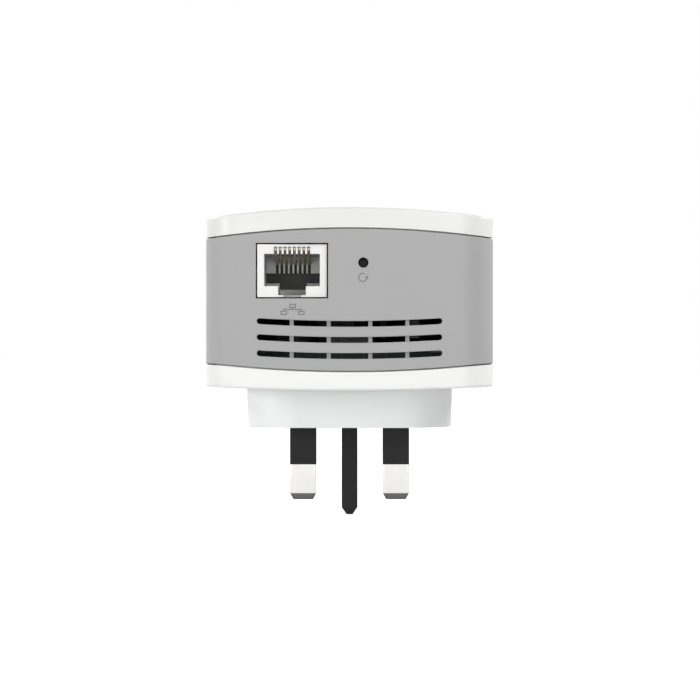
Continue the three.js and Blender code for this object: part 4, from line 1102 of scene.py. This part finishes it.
def jack_housing():
    """The port's body, open for the plug, its latch, the notch below, the comb and the contacts."""
    body = block("port_body", *zip(port_low, port_high))
    tail = PORT_FACE + CONTACT_TAIL + CONTACT_THICKNESS / 2 + FIT_GAP
    openings = [block("opening", around(PORT_X, half), (PORT_FACE - OVERRUN, PORT_FACE + depth), (low, high))
                for half, depth, low, high in (
                    (PORT_HALF_OPENING, CAVITY_DEPTH, PORT_FLOOR, PORT_CEILING),
                    (LATCH_HALF_WIDTH, CAVITY_DEPTH, LATCH_FLOOR, PORT_CEILING),
                    (NOTCH_HALF_WIDTH, NOTCH_DEPTH, port_low.z - OVERRUN, PORT_CEILING),
                    (COMB_HALF_WIDTH, COMB_RECESS, PORT_FLOOR, COMB_CEILING))]
    cut(body, *openings,
        comb_slots("slots", (PORT_FACE + COMB_RECESS / 2, tail), (PORT_CEILING - OVERRUN, SLOT_CEILING)),
        comb_slots("ways", (PORT_FACE + COMB_RECESS, tail), (WAY_FLOOR, PORT_ROOF + OVERRUN)))
    eased(body, lambda point: point.y < PORT_FACE + CLOSE)
    stand_for(body, "jack_housing", extra_finishes=(port_wall_shade_finish, back_wall_shade_finish))
    # The grey and near-black finishes given below are painted shade: inside the port, on its back wall, and
    # on the body's outer sides in the gap round its face
    behind_face = PORT_FACE + EASED_FINE + CLOSE
    refinish(body, 1, lambda middle, normal: (
        middle.y > PORT_FACE + COMB_RECESS + CLOSE
        or middle.y > behind_face and middle.z < PORT_CEILING - CLOSE))
    refinish(body, 2, lambda middle, normal: (
        middle.y > behind_face and not inside_mouth(middle)
        or normal.y < 0 and abs(middle.y - PORT_FACE - CAVITY_DEPTH) < CLOSE))


def jack_insert():
    """The comb that spaces the contacts, with the ledges beside and in the latch's way."""
    depth = (insert_low.y, insert_high.y)
    comb = block("port_comb", *zip(insert_low, insert_high))
    cut(comb, comb_slots("comb_slots", (insert_low.y - OVERRUN, insert_high.y + OVERRUN),
                         (insert_low.z - OVERRUN, insert_high.z - INSERT_BRIDGE)))
    ledges = [block("ledge", around(PORT_X, LATCH_HALF_WIDTH - SEAT_GAP), depth,
                    (LATCH_FLOOR + SEAT_GAP, LATCH_FLOOR + LATCH_LEDGE_RISE))]
    for x in ((insert_low.x, PORT_X - LATCH_HALF_WIDTH), (PORT_X + LATCH_HALF_WIDTH, insert_high.x)):
        ledges.append(block("ledge", x, depth, (PORT_FLOOR + SEAT_GAP, PORT_FLOOR + LEDGE_RISE)))
    joined(comb, *ledges)
    stand_for(eased(comb), "jack_insert")


def jack_contacts():
    """A spring contact from its tail over the roof and round the bend to its tip, in a row of eight."""
    bend_y = PORT_FACE + CONTACT_BEND_SETBACK + CONTACT_BEND
    bend_z = PORT_ROOF - CONTACT_DROP - CONTACT_BEND
    tail_y = PORT_FACE + CONTACT_TAIL
    bend = arc((bend_y, bend_z), CONTACT_BEND, math.pi / 2, 3 * math.pi / 2 - CONTACT_SLOPE, 14, whole=True)
    last_y, last_z = bend[-1]
    tip_z = PORT_ROOF - CONTACT_TIP_DROP
    tip_y = last_y + (last_z - tip_z) / math.tan(CONTACT_SLOPE)
    path = [(tail_y, PORT_ROOF - SEAT_GAP), (tail_y, PORT_ROOF - CONTACT_DROP), *bend, (tip_y, tip_z)]
    contact = prism("jack_contacts", strip(path, CONTACT_THICKNESS), "x",
                    around(PORT_X, CONTACT_HALF_WIDTH))
    eased(contact, width=EASED_CONTACT)
    in_row(contact, CONTACTS, (CONTACT_PITCH, 0, 0))
    names = [f"jack_contact_{i + 1}" for i in range(CONTACTS)]
    stand_for(contact, *names)


# Buttons and lights
def reset_plunger():
    radius = (plunger_high.x - plunger_low.x) / 2
    pin = prism("reset_plunger_pin", circle(radius, (RESET_X, RESET_Z), 32), "y",
                (plunger_low.y, plunger_high.y))
    stand_for(eased(pin, width=EASED_PLUNGER, segments=3), "reset_plunger")


def wps_button():
    """A cap a little proud of the band, with its flange behind the wall and a stem to the switch."""
    flange_low = button_low.x + BUTTON_STEM
    flange_high = flange_low + BUTTON_FLANGE_THICKNESS
    inside = flange_high - BUTTON_OVERLAP
    cap = prism("pairing_button_cap", button_outline(0), "x", (inside, button_high.x))
    joined(cap,
           prism("flange", button_outline(BUTTON_FLANGE), "x", (flange_low, flange_high)),
           block("stem", (button_low.x, inside), around(BUTTON_Y, BUTTON_STEM_HALF_WIDTH),
                 around(BUTTON_Z, BUTTON_STEM_HALF_WIDTH)))
    eased(cap, lambda point: point.x > button_high.x - CLOSE, EASED_CAP, segments=4)
    stand_for(cap, "wps_button")


def light_guide():
    """A bar over the status lights, with a row of prongs that end just below the crowned face."""
    bar_top = front_face(guide_high.x, guide_high.y) - FRONT_WALL - FIT_GAP
    bar = block("light_guide_bar", *zip(guide_low.xy, guide_high.xy), (guide_low.z, bar_top))
    tip = front_face(WINDOW_HALF_WIDTH - WINDOW_GAP, LIGHT_Y + WINDOW_HALF_LENGTH - WINDOW_GAP) - SEAT_GAP
    prong = prism("prongs", window_outline(WINDOW_GAP), "z", (bar_top - OVERRUN / 2, tip))
    in_row(prong, LIGHTS, (LIGHT_PITCH, 0, 0), drop=1 / (2 * FRONT_CROWN[0] * MM))
    joined(bar, prong)
    stand_for(eased(bar), "light_guide")


# Printed marks: flat strokes laid on the curved end wall
def stroke_rings(outline):
    """The two faces of a stroke whose outline is given in (x, z), laid on the end wall."""
    return [[Vector((x, rise - end_wall(x), z)) for x, z in outline] for rise in (INK_SUNK, -INK_PROUD)]


def line_stroke(shape, start, end):
    add_skin(shape, stroke_rings(strip([start, end], STROKE)))


def frame_stroke(shape, centre, half_width, half_height):
    """A rectangle drawn as an outline: a closed band of ink."""
    outer, inner = (stroke_rings([
        (centre[0] + u * (half_width - inset), centre[1] + v * (half_height - inset))
        for u, v in CORNER_SIDES]) for inset in (0, STROKE))
    add_skin(shape, outer + inner[::-1], wrapped=True)


def network_mark():
    """Three linked boxes, the common sign for a wired network."""
    x, z = NETWORK_MARK
    left, right = around(x, NETWORK_REACH)
    bottom, top = around(z, NETWORK_RISE)
    lower, upper = around(z, STROKE / 2)
    shape = bmesh.new()
    for centre in ((x, top), (left, bottom), (right, bottom)):
        frame_stroke(shape, centre, *NETWORK_BOX)
    line_stroke(shape, (x, top - NETWORK_BOX[1]), (x, upper))
    line_stroke(shape, (left - STROKE / 2, z), (right + STROKE / 2, z))
    for foot in (left, right):
        line_stroke(shape, (foot, lower), (foot, bottom + NETWORK_BOX[1]))
    printed("network_mark", shape)


def reset_mark():
    """A circle of ink that ends in an arrowhead."""
    x, z = RESET_MARK
    outer = arc(RESET_MARK, RESET_MARK_RADIUS, *RESET_MARK_TURN)
    inner = arc(RESET_MARK, RESET_MARK_RADIUS - STROKE, *RESET_MARK_TURN)
    sections = []
    for ends in zip(outer, inner):
        sunk, proud = stroke_rings(ends)
        sections.append(sunk[:1] + proud + sunk[1:])
    shape = bmesh.new()
    add_skin(shape, sections)
    middle = x + RESET_MARK_RADIUS - STROKE / 2
    left, right = around(middle, ARROW_HALF_WIDTH)
    add_skin(shape, stroke_rings([(left, z - ARROW_FOOT), (right, z - ARROW_FOOT), (middle, z + ARROW_TIP)]))
    printed("reset_mark", shape)


def printed(name, shape):
    mark = piece_of(name, shape)
    mark.data.materials.append(ink_finish)
    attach(mark, body_of["side_band"])


# Scene: floor, world, lamps and camera, in metres apart from the floor's block
FLOOR_Z = earth_low.z
FLOOR_SPAN = ((-6000, 6000), (-3000, 30000))
FLOOR_THICKNESS = 20
FLOOR_GLOW = (0.72, 1.0)
FLOOR_GLOW_REACH = (0.5, 1.8)
LAMP_SIZE = 0.4
LAMP_TARGET = (0, 0, 0.03)
LAMPS = {
    "left": ((-1.21, -0.7, 0.13), 6.2),
    "front_left": ((-0.48, -1.31, 0.1), 2.9),
    "front_right": ((0.48, -1.31, 0.1), 2.2),
    "right_front": ((0.61, -1.05, 0.73), 6.2),
    "right_high": ((0.61, -0.35, 1.24), 4.4),
    "back_left": ((-1.05, 0.61, 0.73), 9),
    "far_left": ((-0.61, 1.05, 0.73), 6),
    "back_right": ((1.05, 0.61, 0.73), 8),
}
CAMERA_PLACE = (0.00011, -0.5711, 0.01812)
CAMERA_LENS = 119.83
CAMERA_SENSOR = 36


def mirrored(tree):
    """One for a ray that comes from a reflection or through clear plastic, otherwise nought."""
    path = node(tree, "ShaderNodeLightPath").outputs
    return maths(tree, "MAXIMUM", path["Is Glossy Ray"], path["Is Transmission Ray"])


def seen(tree):
    """One for a ray from the camera, or for one that a reflection or clear plastic sends on."""
    return maths(tree, "MAXIMUM", shader(tree, "LightPath", out="Is Camera Ray"), mirrored(tree))


def studio_world():
    """White behind the object and in its reflections; all the light comes from the lamps."""
    world = bpy.data.worlds.new("studio")
    world.use_nodes = True
    tree = world.node_tree
    tree.nodes.clear()
    back = shader(tree, "Background", {"Color": (1, 1, 1, 1), "Strength": seen(tree)})
    node(tree, "ShaderNodeOutputWorld", {"Surface": back})
    bpy.context.scene.world = world


def studio_floor():
    """A wide pale floor at the tip of the longest pin, white where seen apart from the shadow on it."""
    floor = block("floor", *FLOOR_SPAN, (FLOOR_Z - FLOOR_THICKNESS, FLOOR_Z))
    finish, tree, place = new_finish("pale_floor")
    paint = shader(tree, "BsdfDiffuse", {"Color": (0.8, 0.8, 0.8, 1)})
    distance = shader(tree, "VectorMath", {0: place}, "Value", operation="LENGTH")
    strength = ranged(tree, distance, *FLOOR_GLOW, *FLOOR_GLOW_REACH)
    glow = shader(tree, "Emission", {"Color": (1, 1, 1, 1), "Strength": strength})
    white = shader(tree, "Emission", {"Color": (1, 1, 1, 1), "Strength": 1.0})
    both = shader(tree, "AddShader", {0: paint, 1: glow})
    shown = shader(tree, "MixShader", {0: seen(tree), 1: paint, 2: both})
    mixed = shader(tree, "MixShader", {0: mirrored(tree), 1: shown, 2: white})
    node(tree, "ShaderNodeOutputMaterial", {"Surface": mixed})
    floor.data.materials.append(finish)


def studio_lamps():
    """Square soft lamps: low ones on the left and either side of the camera, high ones on the right,
    three from behind."""
    for name, (place, power) in LAMPS.items():
        light = bpy.data.lights.new(name, "AREA")
        light.size = LAMP_SIZE
        light.energy = power
        toward = Vector(LAMP_TARGET) - Vector(place)
        placed(name, light, place, toward.to_track_quat("-Z", "Y").to_euler())


def camera():
    data = bpy.data.cameras.new("camera")
    data.sensor_width = CAMERA_SENSOR
    data.lens = CAMERA_LENS
    bpy.context.scene.camera = placed("camera", data, CAMERA_PLACE, (math.pi / 2, 0, 0))


camera()
finish_nodes()
front_cover()
side_band()
rear_housing()
plug_base()
metal_pin("line_pin", LINE_X)
metal_pin("neutral_pin", -LINE_X)
pin_sleeve("line_pin_sleeve", LINE_X)
pin_sleeve("neutral_pin_sleeve", -LINE_X)
earth_pin()
jack_housing()
jack_insert()
jack_contacts()
reset_plunger()
wps_button()
light_guide()
network_mark()
reset_mark()
studio_world()
studio_floor()
studio_lamps()
bpy.context.scene.view_settings.view_transform = "Standard"
